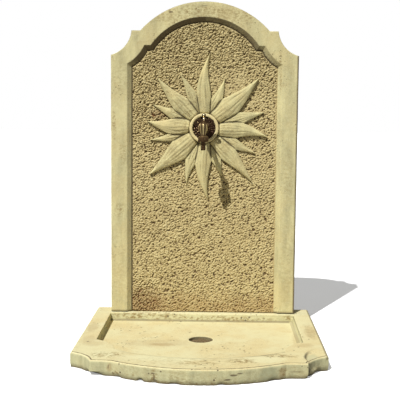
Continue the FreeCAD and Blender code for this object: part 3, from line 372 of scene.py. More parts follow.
stone_base = cast_stone(
    "basin_stone", CREAM, (0.455, 0.432, 0.235), 0.38, 62, 0.45,
    spots=[
        (-110, -20, 17, 52, 20, 12, 0.42), (-125, -5, 17, 135, 52, 12, 0.24),
        (-331, 72, 42, 22, 80, 12, 0.36), (-322, -62, 42, 26, 55, 12, 0.26),
        (-303, -110, 42, 38, 34, 12, 0.22), (330, 40, 42, 24, 80, 12, 0.32),
        (300, -96, 42, 32, 30, 12, 0.26), (287, 30, 17, 14, 120, 12, 0.26),
        (150, -120, 17, 120, 30, 12, 0.12), (0, 44, 8, 44, 44, 11, 0.95),
        (221, -276, 17, 14, 16, 20, 0.5), (-236, -271, 23, 9, 14, 16, 0.45)],
    clean=[
        (0, 268, 42, 420, 16, 5, 1.0), (0, 257, 32, 420, 8, 12, 0.55),
        (-115, -322, 4, 7, 16, 3, 0.9), (320, -240, 12, 22, 24, 5, 0.9),
        (296, 90, 29, 11, 200, 17, 0.95), (-90, -232, 42, 150, 40, 8, 0.7),
        (-260, -215, 42, 44, 44, 8, 0.6), (170, -240, 42, 70, 40, 8, 0.6)],
    green=[
        (304, -200, 38, 26, 46, 10, 0.45), (180, -295, 20, 52, 22, 26, 0.6)],
    mottled=[
        (-180, 257, 34, 150, 24, 16, 1.0), (60, 257, 28, 240, 9, 12, 0.9),
        (287, 257, 32, 30, 20, 16, 1.0), (-250, -215, 42, 60, 38, 10, 0.8),
        (116, -255, 42, 48, 26, 10, 0.9), (219, -203, 42, 62, 20, 10, 1.0),
        (0, -280, 42, 70, 26, 10, 0.6), (330, 60, 42, 24, 120, 10, 0.4),
        (-114, -322, 18, 14, 16, 26, 1.0), (-220, -278, 10, 14, 14, 12, 1.0),
        (-20, -336, 4, 260, 70, 7, 0.8), (-50, -331, 22, 30, 16, 16, 0.4),
        (310, -235, 12, 50, 50, 14, 0.6), (-169, -303, 24, 5, 12, 16, 0.9),
        (221, -276, 19, 16, 14, 21, 1.0), (-20, -310, 20, 380, 80, 26, 0.28),
        (0, -262, 42, 260, 44, 10, 0.30), (255, -270, 18, 34, 12, 20, 0.5)],
    cracks=[
        # The first mark is painted shade deep in the right front cove.
        (294, -256, 18, 5.5, 12, 17, 0.97), (303, -250, 3, 12, 12, 5, 0.9),
        (77, -330, 15, 14, 12, 3, 0.9), (92, -327, 26, 11, 12, 3, 0.85),
        (108, -324, 30, 10, 12, 3, 0.8), (-116, -322, 26, 8, 14, 3, 0.7),
        (-113, -322, 14, 2.4, 12, 11, 0.7), (-109, -322, 8, 6, 12, 2.5, 0.6),
        (-238, -271, 26, 2.6, 10, 9, 0.5), (-226, -276, 9, 2.2, 10, 6, 0.6),
        (-127, -318, 25, 3, 8, 3, 0.9), (-95, -327, 33, 2.6, 8, 2.6, 0.95),
        (-208, -285, 38, 3, 8, 3, 0.7), (150, -316, 24, 2.4, 8, 2.4, 0.8),
        (230, -283, 35, 2.4, 14, 2.4, 0.8), (273, -272, 35, 2.4, 14, 2.4, 0.8),
        (262, -270, 20, 26, 10, 2.0, 0.4), (-185, -261, 42, 3.5, 3.5, 6, 0.8),
        (-141, -272, 42, 3.0, 3.0, 6, 0.8), (-321, -87, 42, 4.0, 4.0, 6, 0.8),
        (-195, 268, 42, 3.0, 3.5, 6, 0.8), (231, -165, 42, 7, 5, 6, 0.5)])
stone_frame = cast_stone(
    "frame_stone", (0.60, 0.55, 0.30), (0.50, 0.45, 0.23), 0.32, 120, 0.45,
    mottled=[
        (0, 273, 1000, 230, 12, 50, 0.65), (-274, 273, 200, 30, 8, 160, 0.25),
        (272, 273, 200, 30, 8, 150, 0.30), (-290, 273, 652, 8, 8, 60, 0.9),
        (-262, 273, 565, 14, 8, 45, 0.7), (-274, 273, 380, 20, 8, 30, 0.9),
        (12, 273, 1022, 85, 20, 12, 0.8), (145, 273, 1012, 32, 10, 20, 0.9),
        (-46, 273, 1018, 30, 10, 10, 0.7), (240, 273, 820, 9, 9, 90, 0.9),
        (272, 273, 500, 22, 8, 120, 0.35), (-268, 273, 800, 30, 8, 70, 0.35)],
    cracks=[
        (-108, 273, 1014, 9, 8, 4, 0.8), (-2, 273, 1034, 13, 8, 2.5, 0.6)])
stone_petal = cast_stone(
    "petal_stone", (0.53, 0.485, 0.245), (0.515, 0.455, 0.22), 0.35, 160, 0.3,
    shade_and_grime=(0.05, 0.034, 0.012),
    mottled=[
        (-90, 270, 730, 90, 40, 90, 0.45), (0, 270, 648, 120, 40, 120, 0.35),
        (-120, 270, 560, 80, 40, 80, 0.40), (90, 270, 600, 80, 40, 60, 0.30)],
    spots=[
        (140, 270, 520, 75, 40, 75, 0.22)])
stone_ring = cast_stone("ring_stone", (0.60, 0.50, 0.255), (0.60, 0.505, 0.25), 0.12, 160)

# %% [markdown]
# ## The basin
# The basin is one low slab: straight behind, bowed in front, with a cove at each front corner. A
# caster would make a box mould for the slab and lay a smaller form in it for the sunk floor. The
# mesh is made in the same order. The traced outline is pushed up to a slab, and a cutter with a
# rounded underside takes the recess out. The arris is bevelled last, and a narrow inset beside
# it holds the line of dirt that collects there.

# %% Basin slab and recess
BASIN = [(232, -271), (290, -269, -13), (353, -195), (353, 337), (-353, 337),
         (-353, -195, -13), (-290, -269), (-232, -271, 66)]
RECESS = [(225, -163), (237, -159, -16), (300, -62), (300, 257), (-300, 257),
          (-300, -62, -16), (-237, -159), (-225, -163, 61)]
BASIN_TOP, RECESS_FLOOR, DRAIN = 42 * MM, 17 * MM, Vector((0, 0.044, 0))

slab = bmesh.new()
base_face = trace(slab, scaled(BASIN), "XY", 0.0)
outline = [vert.co.copy() for vert in base_face.verts]
push(slab, [base_face], (0, 0, BASIN_TOP))

sunk = bmesh.new()
floor_face = trace(sunk, scaled(RECESS), "XY", RECESS_FLOOR)
push(sunk, [floor_face], (0, 0, 40 * MM))
foot = [edge for edge in sunk.edges if all(abs(v.co.z - RECESS_FLOOR) < 1e-6 for v in edge.verts)]
round_edges(sunk, foot, 7 * MM)
for vert in sunk.verts:
    if vert.co.x > 0.28:
        vert.co.x -= 8 * MM * max(0.0, 1 - (vert.co.z - RECESS_FLOOR) / (BASIN_TOP - RECESS_FLOOR))

waste = bmesh.new()
bmesh.ops.create_cone(waste, cap_ends=True, segments=72, radius1=36 * MM, radius2=36 * MM,
                      depth=80 * MM, matrix=Matrix.Translation(DRAIN))
carve(slab, [sunk, waste])
print("basin carved,", len(slab.faces), "faces")


# %% Worn edges and dirt lines
def level_rim(bm, level, inside):
    """Edges at a level between a flat top and a wall; inside(v) tells which rim they are on."""
    found = []
    for edge in bm.edges:
        if all(abs(v.co.z - level) < 1e-5 and inside(v.co) for v in edge.verts):
            tilt = sorted(abs(face.normal.z) for face in edge.link_faces)
            if len(tilt) == 2 and tilt[0] < 0.2 and tilt[1] > 0.8:
                found.append(edge)
    return found


def in_recess(co):
    return abs(co.x) < 0.3005 and -0.2245 < co.y < 0.2575


slab.normal_update()
round_edges(slab, level_rim(slab, BASIN_TOP, in_recess), 4 * MM)
outer = [edge for edge in level_rim(slab, BASIN_TOP, lambda co: not in_recess(co))
         if not all(v.co.y > 0.3365 for v in edge.verts)]
round_edges(slab, outer, 5.5 * MM)
hole_rim = level_rim(slab, RECESS_FLOOR, lambda co: (co - DRAIN).xy.length < 0.05)
round_edges(slab, hole_rim, 3 * MM, 3)

slab.normal_update()
dirt_and_shade = slab.verts.layers.float.new("dirt_and_shade")
top = [face for face in slab.faces
       if face.normal.z > 0.999 and face.calc_center_median().z > 0.0415]
for _ in range(2):
    bmesh.ops.inset_region(slab, faces=top, thickness=1.7 * MM, depth=0, use_even_offset=True)
    inner = once(vert for face in top for vert in face.verts)
    bmesh.ops.remove_doubles(slab, verts=inner, dist=1.5 * MM)
    top = [face for face in top if face.is_valid]
slab.normal_update()
print("basin edges worn,", len(slab.faces), "faces")

# %% [markdown]
# ## Wear, by moving points
# A slab has no points between its corners, so nothing on it can move. `bisect_plane` cuts it
# into small squares first. Then each point slides along its own normal by smooth noise, and the
# lower arris crumbles more than the rest, as it does on stone that has been dragged about.

# %% Weathering
def weather(bm, amount, coarse=14, fine=70, seed=0.0):
    """Slide every vertex along its normal by two layers of noise."""
    bm.normal_update()
    shift = Vector((seed, seed * 0.7, -seed))
    for vert in bm.verts:
        wave = noise.noise(vert.co * coarse + shift) + 0.5 * noise.noise(vert.co * fine + shift)
        vert.co += vert.normal * (wave * amount)


slice_up(slab, 0, -0.353, 0.353, 5.5 * MM)
slice_up(slab, 1, -0.337, 0.337, 5.5 * MM)
slice_up(slab, 2, 0.0, 0.042, 4 * MM)
slice_up(slab, 0, 0.284, 0.315, 2.3 * MM)
slice_up(slab, 1, -0.250, -0.152, 2.8 * MM)


def from_outline(co):
    """Distance from the basin's outline, seen from above."""
    flat, nearest = Vector((co.x, co.y, 0)), 1.0
    for first, second in zip(outline, outline[1:] + outline[:1]):
        foot, share = geometry.intersect_point_line(flat, first, second)
        nearest = min(nearest, (flat - (foot if 0 < share < 1 else first)).length)
    return nearest


for vert in slab.verts:
    if abs(vert.co.z - BASIN_TOP) < 1e-5 and vert.co.y < -0.188 and not in_recess(vert.co):
        vert[dirt_and_shade] = 1.0 if from_outline(vert.co) < 8.2 * MM else 0.0
BOW_CENTRE, BOW_RADIUS = Vector((0, 0.2215)), 0.4455
DENT_CENTRE, DENT_RADIUS = Vector((0.420, -0.215)), 0.1346
LEDGE = Vector((0.321, -0.236))
CHIPS = [(-290, -269, 30, 9, 9), (-151, -310, 8, 5, 4), (-113, -322, 8, 2, 2),
         (-215, -281, 13, 3, 2), (196, -286, 14, 3, 1.5), (299, -262, 13, 8, 5),
         (330, -222, 18, 5, 2), (60, -334, 10, 3, 2), (-60, -334, 14, 3, 2)]


def ease(value, low, high):
    """A smooth step from 0 below low to 1 above high."""
    share = max(0.0, min(1.0, (value - low) / (high - low)))
    return share * share * (3 - 2 * share)


def bell(value, width):
    """1 at nought, falling away softly on both sides."""
    return math.exp(-(value / width) ** 2)


def press_rim(vert):
    """The bow's rim falls away softly towards the recess, with painted shade where it turns down.
    """
    co = vert.co
    out = (co.xy - BOW_CENTRE).length - BOW_RADIUS
    fade = 1 - ease(abs(co.x), 0.196, 0.238)
    if co.z > 0.034 and co.y < -0.10 and -0.008 < out < 0.035:
        vert.co.z -= 2.6 * MM * fade * bell(max(0.0, out), 0.012)
        shade_and_grime = 0.18 + 0.75 * bell(co.x - 0.195, 0.050)
        vert[dirt_and_shade] = max(vert[dirt_and_shade], fade * shade_and_grime * bell(out - 0.002, 0.006))


def scoop(vert):
    """A shallow dent in the top of the right front corner, steep on its left side, with painted
    shade on that steep side.
    """
    co = vert.co
    inside = DENT_RADIUS - (co.xy - DENT_CENTRE).length
    if co.z > 0.034 and inside > 0:
        reach = ease(inside, 0, 0.006) * math.exp(-inside / 0.028)
        along = bell(co.y + 0.197, 0.044)
        vert.co.z -= 9 * MM * reach * along
        vert[dirt_and_shade] = max(vert[dirt_and_shade], 0.8 * along * bell(inside - 0.003, 0.0035))


def ledge(vert):
    """The right cove has lost its upper face: the stone below it stands proud."""
    co, flat = vert.co, Vector((vert.normal.x, vert.normal.y, 0))
    apart = (co.xy - LEDGE).length / 0.020
    if apart < 2 and flat.length > 0.6:
        height = 0.013 + 0.004 * noise.noise(co * 60)
        left = 1 - ease(co.z, height, height + 0.005)
        vert.co += flat.normalized() * (3.6 * MM * math.exp(-apart ** 4) * left)


def chip(vert):
    """Break the lower arris, knock the listed chips out of it (x, y, width, in, up), and paint
    shade under it.
    """
    co = vert.co.copy()
    low = 1 - co.z / 0.012
    if low <= 0 or co.y > 0.30 or abs(vert.normal.z) > 0.85 or (co - DRAIN).xy.length < 0.05:
        return
    crumble = max(0.0, noise.noise(co * 70) - 0.05) + 0.5 * max(0.0, noise.noise(co * 210))
    inward = 2.0 + 2.6 * crumble
    upward = 0.6 * max(0.0, noise.noise(co * 120))
    for *place, width, deep, high in CHIPS:
        apart = (co.xy - Vector(place) * MM).length / (width * MM)
        near = math.exp(-apart ** 3)
        inward, upward = inward + deep * near, upward + high * near
    flat = Vector((vert.normal.x, vert.normal.y, 0)).normalized()
    vert.co -= flat * (inward * low * MM)
    vert.co.z += upward * low * MM
    vert[dirt_and_shade] = max(vert[dirt_and_shade], low ** 1.5)


slab.normal_update()
for vert in slab.verts:
    press_rim(vert)
    scoop(vert)
    ledge(vert)
    chip(vert)
    x, y, z = vert.co
    # Painted shade on the right side's rounded edge, which faces away from the sun.
    if x > 0.347 and z > 0.030:
        vert[dirt_and_shade] = max(vert[dirt_and_shade], 0.62)
    if (vert.co - DRAIN).xy.length < 0.0375 and z < 0.0145:
        vert[dirt_and_shade] = 0.75
    if 0.2965 < x < 0.3012 and -0.06 < y < 0.257 and 0.034 < z < 0.0385:
        vert[dirt_and_shade] = 0.6
    # Painted shade in the rounded corner at the foot of the back wall; the foot of the right wall
    # is darkened too.
    if in_recess(vert.co) and 0.0175 < z < 0.0225 and y > 0.24:
        vert[dirt_and_shade] = 0.62
    if in_recess(vert.co) and 0.0172 < z < 0.024 and x > 0.286 and y > -0.06:
        vert[dirt_and_shade] = 0.36
underside = [face for face in slab.faces
             if face.normal.z < -0.9 and face.calc_center_median().z < 0.012]
bmesh.ops.delete(slab, geom=underside, context="FACES")
bmesh.ops.triangle_fill(slab, use_beauty=True,
                        edges=[edge for edge in slab.edges if edge.is_boundary])
bmesh.ops.recalc_face_normals(slab, faces=slab.faces[:])
weather(slab, 0.5 * MM, 14, 55)
for vert in slab.verts:
    vert.co.z = max(vert.co.z, 0.0)
    vert.co.y = min(vert.co.y, 0.337)
finish_piece(slab, "basin_slab", stone_base, replaces=["basin"])

# %% Silt in the drain hole
silt = bmesh.new()
bmesh.ops.create_cone(silt, cap_ends=True, segments=72, radius1=35.6 * MM, radius2=35.6 * MM,
                      depth=6.5 * MM, matrix=Matrix.Translation(DRAIN + Vector((0, 0, 3.25 * MM))))
crust = [face for face in silt.faces if face.normal.z > 0.9]
for ring_width in (4, 5, 6, 6, 6):
    bmesh.ops.inset_region(silt, faces=crust, thickness=ring_width * MM, depth=0)
for vert in silt.verts:
    if vert.co.z > 4 * MM:
        vert.co.z += (0.8 + 2.2 * noise.noise(vert.co * 90)) * MM


def dried_silt():
    """Leaf mould and sand, dried to a brown crust."""
    crusty = Finish("dried_silt")
    lumps = crusty.noise(260, 5, 0.7)
    colour = crusty.mix(crusty.step(lumps, 0.35, 0.68), (0.06, 0.036, 0.014), (0.24, 0.165, 0.07))
    return crusty.surface(Base_Color=colour, Roughness=0.95, Normal=crusty.bump(lumps, 2.0))


finish_piece(silt, "drain_silt", dried_silt())

# %% [markdown]
# ## The panel's frame
# The panel is a second slab, upright, with an arched top and two hollow shoulders. A smooth
# frame runs round it and slopes down to the sunk field. The slope joins two outlines of the
# same kind, the arris and the field's edge, so `bridge_loops` makes the cutter's walls.

# %% Panel slab, sunk field and bevel
FRONT, FIELD, BACK, FOOT = 273 * MM, 285 * MM, 337 * MM, 45 * MM
PANEL = [(-300, 0), (300, 0), (300, 834, -16), (234, 911), (206, 911, 92), (-206, 911),
         (-234, 911, -16), (-300, 834)]
ARRIS = [(-248, -20), (248, -20), (248, 806, -6), (193, 865), (173, 865, 90), (-173, 865),
         (-193, 865, -6), (-248, 806)]
FIELD_EDGE = [(-234, -20), (234, -20), (234, 797.9, -6), (184.3, 851), (165.7, 851, 90),
              (-165.7, 851), (-184.3, 851, -6), (-234, 797.9)]


def stood_up(corners):
    """Metres, with the panel's foot at its own level."""
    return [(x * MM, z * MM + FOOT, *[bow * MM for bow in rest]) for x, z, *rest in corners]


def sloped_cutter():
    """The space in front of the field: flared from the field's edge to the arris and beyond."""
    bm = bmesh.new()
    rings = []
    for corners, level in ((FIELD_EDGE, 289 * MM), (FIELD_EDGE, FIELD), (ARRIS, FRONT)):
        face = trace(bm, stood_up(corners), "XZ", level, step=None)
        rings.append(list(face.edges))
        if level == FIELD:
            bmesh.ops.delete(bm, geom=[face], context="FACES_ONLY")
    push(bm, [face], (0, -30 * MM, 0))
    bmesh.ops.delete(bm, geom=[face for face in bm.faces
                               if all(abs(v.co.y - FRONT) < 1e-6 for v in face.verts)],
                     context="FACES_ONLY")
    for first, second in ((0, 1), (1, 2)):
        bmesh.ops.bridge_loops(bm, edges=rings[first] + rings[second])
    return bm


def block(low, high):
    """A plain cutting block between two corners in millimetres."""
    bm = bmesh.new()
    low, high = Vector(low) * MM, Vector(high) * MM
    shape = Matrix.Translation((low + high) / 2) @ Matrix.Diagonal((*(high - low), 1))
    bmesh.ops.create_cube(bm, size=1, matrix=shape)
    return bm


def rod(radius, start, end):
    """A round cutter along Y or Z, radius and ends in millimetres."""
    bm = bmesh.new()
    middle = (Vector(start) + Vector(end)) * (MM / 2)
    length = (Vector(end) - Vector(start)).length * MM
    turn = Matrix.Translation(middle)
    if start[1] != end[1]:
        turn = turn @ Matrix.Rotation(math.radians(90), 4, "X")
    bmesh.ops.create_cone(bm, cap_ends=True, segments=48, radius1=radius * MM,
                          radius2=radius * MM, depth=length, matrix=turn)
    return bm


panel = bmesh.new()
push(panel, [trace(panel, stood_up(PANEL), "XZ", FRONT)], (0, BACK - FRONT, 0))
tools = [sloped_cutter(), rod(11.2, (0, 280, 648), (0, 340, 648)),
         block((-48, 303, 600), (48, 350, 696))]
for side in (-1, 1):
    tools += [block((180 * side - 32.4, 334, 884.6), (180 * side + 32.4, 350, 925.4)),
              block((180 * side - 11, 320, 887), (180 * side + 11, 350, 923))]
carve(panel, tools)
panel.normal_update()
rim = [edge for edge in panel.edges
       if all(abs(v.co.y - FRONT) < 1e-5 for v in edge.verts) and len(edge.link_faces) == 2
       and min(abs(face.normal.y) for face in edge.link_faces) < 0.9
       and max(v.co.z for v in edge.verts) > FOOT + 1e-4]
round_edges(panel, rim, 1.8 * MM, 3)
slice_up(panel, 0, -0.300, 0.300, 7 * MM)
slice_up(panel, 2, 0.045, 1.048, 7 * MM)
dirt_and_shade = panel.verts.layers.float.new("dirt_and_shade")
# Painted shade: the slopes on the left, under the arch and in the shoulders, a line where slope
# meets field, a line at the panel's foot, and the right outer edge.
for vert in panel.verts:
    inset = (vert.co.y - FRONT) / (FIELD - FRONT)
    on_slope = 0.04 < inset < 1.4 and abs(vert.co.x) < 0.26
    painted_side_shade = 0.30 * ease(vert.co.z - FOOT, 0.78, 0.82) + (0.22 if vert.co.x < 0 else 0.0)
    if vert.co.x < 0.175:
        painted_side_shade += 0.42 * ease(vert.co.z - FOOT, 0.79, 0.83)
    foot = max(0.0, 1 - (vert.co.z - FOOT) / 0.006) if vert.co.y < FIELD else 0.0
    seam_shade = 1.0 if inset > 0.93 and (vert.co.x < 0.2 or vert.co.z > 0.838) else 0.0
    vert[dirt_and_shade] = max(max(painted_side_shade, seam_shade) if on_slope else 0.0, foot * 0.8)
    if vert.co.x > 0.2935 and vert.co.y < FIELD:
        vert[dirt_and_shade] = max(vert[dirt_and_shade], ease(vert.co.x, 0.2930, 0.2975))
weather(panel, 0.4 * MM, seed=3.0)
for vert in panel.verts:
    vert.co.y = min(vert.co.y, BACK)
finish_piece(panel, "panel_frame", stone_frame, replaces=["wall_panel"], smooth=24)

# %% [markdown]
# ## The rough field
# The field was stippled in the mould, which leaves rounded lumps 4 to 6 mm across with dark
# cracks between them. A bump map alone would leave a flat outline under the petals, so the
# lumps are real: a fine grid is raised by Voronoi cells, each a small dome. How deep a point
# lies is painted on it, and the colour uses it for painted shade low down and a painted highlight
# on the crests.

# %% Field sheet
def domes(x, z):
    """Height of the stipple, -1 to 1: stretched domes on a slant over slow unevenness."""
    slant = Vector((x * 0.88 + z * 0.475, 0, -x * 0.475 + z * 0.88))
    place = Vector((slant.x / 0.0063, 0.3, slant.z / 0.0044))
    wobble = noise.noise_vector(place * 0.9) * 0.6
    near = noise.voronoi(place + wobble)[0][0]
    small = noise.noise(Vector((x, 0, z)) * 360)
    slow = noise.noise(Vector((x, 5, z)) * 28)
    return max(-1.0, min(1.0, 0.85 - 2.3 * near * near + 0.42 * small + 0.25 * slow))


def depth_of_stipple(x, z):
    """Millimetres of relief: the tool bit deeper away from the flower's right side."""
    top = ease(z, 0.70, 0.86)
    left = ease(-x, 0.02, 0.20) * ease(z, 0.45, 0.75)
    foot = ease(-x, 0.13, 0.20) * (1 - ease(z, 0.10, 0.20))
    calm = bell(x - 0.095, 0.075) * bell(z - 0.79, 0.075)
    return 3.5 + 2.3 * max(top, left) + 1.6 * foot - 2.9 * calm


HOLLOW, _, HOLLOW_RADIUS = arc_centre(Vector((0.234, 0.7979)), Vector((0.1843, 0.851)), -0.006)


def beyond_edge(x, z):
    """How far a point of the field lies outside the field's edge."""
    x, height = abs(x), z - FOOT
    arch = math.hypot(x, height - 0.7435) - 0.1975
    if height > 0.851:
        return arch
    shoulder = HOLLOW_RADIUS - (Vector((x, height)) - HOLLOW).length
    above = height - 0.851 if x > 0.1657 else (arch if height > 0.80 else -1.0)
    return max(x - 0.234, shoulder, above)


def field_sheet(low, high):
    """A closed sheet of stipple between two heights of the panel, in metres."""
    bm = bmesh.new()
    wide, tall, pitch = 0.480, high - low, 1.6 * MM
    bmesh.ops.create_grid(
        bm, x_segments=round(wide / pitch), y_segments=round(tall / pitch), size=0.5,
        matrix=Matrix.Translation((0, FIELD, FOOT + (low + high) / 2))
        @ Matrix.Rotation(math.radians(90), 4, "X") @ Matrix.Diagonal((wide, tall, 1, 1)))
    outside = [vert for vert in bm.verts if beyond_edge(vert.co.x, vert.co.z) > 5 * MM]
    bmesh.ops.delete(bm, geom=outside, context="VERTS")
    rim = [edge for edge in bm.edges if edge.is_boundary]
    relief = bm.verts.layers.float.new("relief")
    edge_shade = bm.verts.layers.float.new("edge_shade")
    for vert in bm.verts:
        inward = -beyond_edge(vert.co.x, vert.co.z)
        open_side = ease(vert.co.x, 0.19, 0.20) * (1 - ease(vert.co.z, 0.836, 0.843))
        crevice = (1 - ease(inward, 0.0008, 0.0050)) * (1 - open_side)
        # Painted shade in the crevice along the field's edge, where it meets the frame.
        vert[edge_shade] = crevice
        height = domes(vert.co.x, vert.co.z) * ease(inward, -0.001, 0.006)
        vert[relief] = 0.5 + 0.5 * height
        vert.co.y += (3.0 * crevice - height * depth_of_stipple(vert.co.x, vert.co.z)) * MM
        vert.co.y = min(vert.co.y, 288.8 * MM)
    walls = bmesh.ops.extrude_edge_only(bm, edges=rim)["geom"]
    for vert in verts_of(walls):
        vert.co.y = 289.4 * MM
    bmesh.ops.contextual_create(bm, geom=[edge for edge in edges_of(walls) if edge.is_boundary])
    bmesh.ops.recalc_face_normals(bm, faces=bm.faces[:])
    return bm


RUSTY = [(-200, 285, 70, 90, 40, 75, 0.8), (-148, 285, 692, 40, 30, 20, 1.0),
         (-88, 285, 852, 24, 30, 14, 0.6)]


def rough_stone():
    """The field: warm sand on the lumps with a painted highlight on their crests, and painted shade
    in the gaps between them, under the arch and along the field's edge.
    """
    stone = Finish("field_stone")
    depth = stone.painted("relief")
    fine = stone.noise(420, 3, 0.6)
    # Painted shade in the cracks between the lumps, and a painted highlight on the lumps' crests,
    # both from the painted depth.
    high = stone.step(depth + (fine - 0.5) * 0.30, 0.16, 0.60)
    colour = stone.mix(high, (0.095, 0.052, 0.018), (0.485, 0.385, 0.175))
    colour = stone.mix(stone.step(depth, 0.62, 1.0) * 0.65, colour, (0.65, 0.565, 0.30))
    patches = stone.step(stone.noise(7, 5, 0.65), 0.42, 0.68)
    colour = stone.mix(patches * 0.25, colour, (0.36, 0.27, 0.12))
    # Painted shade under the arch.
    height = stone.node("ShaderNodeSeparateXYZ", None, {0: stone.place}, "Z")
    colour = stone.mix(stone.step(height, 0.66, 0.96) * 0.2, colour, (0.33, 0.275, 0.135))
    damp = stone.step(height + (stone.noise(30, 4, 0.6) - 0.5) * 0.12, 0.050, 0.125, 1.0, 0.0)
    colour = stone.mix(damp * 0.4, colour, (0.30, 0.17, 0.055))
    for *place, share in RUSTY:
        rust = stone.spot(place[:3], place[3:]) * (1.4 - high) * share
        colour = stone.mix(rust, colour, (0.16, 0.065, 0.02))
    # Painted shade along the field's edge.
    colour = stone.mix(stone.painted("edge_shade") * 0.92, colour, (0.045, 0.028, 0.010))
    return stone.surface(Base_Color=colour, Roughness=0.95,
                         Normal=stone.bump(fine + stone.noise(1100, 2, 0.5) * 0.4, 0.6))


field_stone = rough_stone()
for name, low, high in (("lower_field", 0.0, 0.465), ("upper_field", 0.465, 0.948)):
    finish_piece(field_sheet(low, high), name, field_stone, replaces=["wall_panel"], smooth=80)

# %% [markdown]
# ## The sunflower
# Eight broad petals lie over eight narrow ones, each with its own direction, reach, width and
# sway. A carver would draw the midrib first and widen the petal around it, and we do the same:
# a small grid is bent along the midrib, given the leaf's outline and crown, and then furrows
# are pressed in that run together towards the tip. The rim is carried back into the field, so
# that every petal stands clear of it and throws its own shadow.

# %% Petals
FLOWER = Vector((0, 0.648))
BROAD = [(86.0, 239, 24, 13), (42.6, 233, 34, -6), (-7.4, 204, 29, 11), (-47.8, 232, 29, 4),
         (-86.4, 234, 27, -12), (-139.4, 231, 35, 2), (173.8, 182, 31, 8), (133.6, 218, 29, 4)]
NARROW = [(67.4, 170, 22, -3), (15.0, 199, 26, 1), (-25.6, 184, 22, -3), (-69.4, 166, 23, 2),
          (-107.2, 190, 23, -9), (-167.4, 179, 18, 6), (156.0, 180, 22, 0), (114.4, 189, 20, -6)]
LEAF = [(0, 0.60), (0.08, 0.76), (0.25, 1), (0.38, 0.975), (0.53, 0.76), (0.71, 0.46),
        (0.84, 0.265), (0.94, 0.12), (1, 0.03)]
FURROWS = [(-0.62, 0.7), (-0.27, 1.0), (0.08, 0.75), (0.42, 1.0), (0.72, 0.5)]
ROOT = 34


class Leaf:
    """One petal in the flower's plane: millimetres from its centre, and in front of the field."""

    def __init__(self, angle, reach, half_width, bow, rim, crown, sink, seed):
        self.angle, self.reach, self.half_width, self.bow = angle, reach, half_width, bow
        self.rim, self.crown, self.sink, self.seed = rim, crown, sink, seed
        self.along = Vector((math.cos(math.radians(angle)), math.sin(math.radians(angle))))
        self.across = Vector((-self.along.y, self.along.x))

    def spread(self, share):
        for (low, first), (high, second) in zip(LEAF, LEAF[1:]):
            if share <= high:
                break
        part = (share - low) / (high - low)
        wave = 1 + 0.05 * noise.noise(Vector((share * 5, self.seed, 0)))
        return self.half_width * wave * (first + (second - first) * part)

    def sway(self, share):
        return self.bow * math.sin(math.pi * max(0.0, share) ** 1.3)

    def place(self, share, side):
        length = ROOT + (self.reach - ROOT) * share
        return self.along * length + self.across * (self.sway(share) + side * self.spread(share))

    def find(self, flat):
        share = (flat.dot(self.along) - ROOT) / (self.reach - ROOT)
        share = min(1.0, max(0.0, share))
        return share, (flat.dot(self.across) - self.sway(share)) / self.spread(share)

    def swell(self, share, side):
        """Height of the plain cushion, before any line is cut into it."""
        dome = 0.6 * max(0.0, 1 - abs(side) ** 2.1) ** 0.62 + 0.4 * (1 - abs(side))
        droop = (0.10 + 0.55 * self.along.y ** 2) * ease(share, 0.45, 1.0)
        rim = self.rim * (0.45 + 0.55 * ease(share, 0.05, 0.45)) * (1 - droop)
        fullness = 0.30 + 0.70 * self.spread(share) / self.half_width
        height = rim + (self.crown - rim) * dome * fullness
        return height * (1 - self.sink * (1 - ease(share, 0.0, 0.45)))

    def line_cut(self, share, side):
        """The carver's gouge lines, 0 to 1: a few of them, each with its own length."""
        cut = 0.0
        for index, (where, depth) in enumerate(FURROWS):
            chance = noise.noise(Vector((index * 7.3, self.seed * 2.9, 0.5)))
            wander = noise.noise(Vector((share * 3, self.seed + index * 5.1, 0)))
            drift = 0.16 * wander + 0.10 * chance
            groove = bell(side - where - drift, 2.7 / self.half_width)
            uneven = 0.62 + 0.75 * noise.noise(Vector((share * 4.5, index * 3.7, self.seed)))
            stop = 0.22 * chance
            ends = ease(share, 0.03, 0.16) * (1 - ease(share, 0.46 + stop, 0.70 + stop))
            cut = max(cut, groove * depth * ends * max(0.0, min(1.0, uneven)))
        return cut


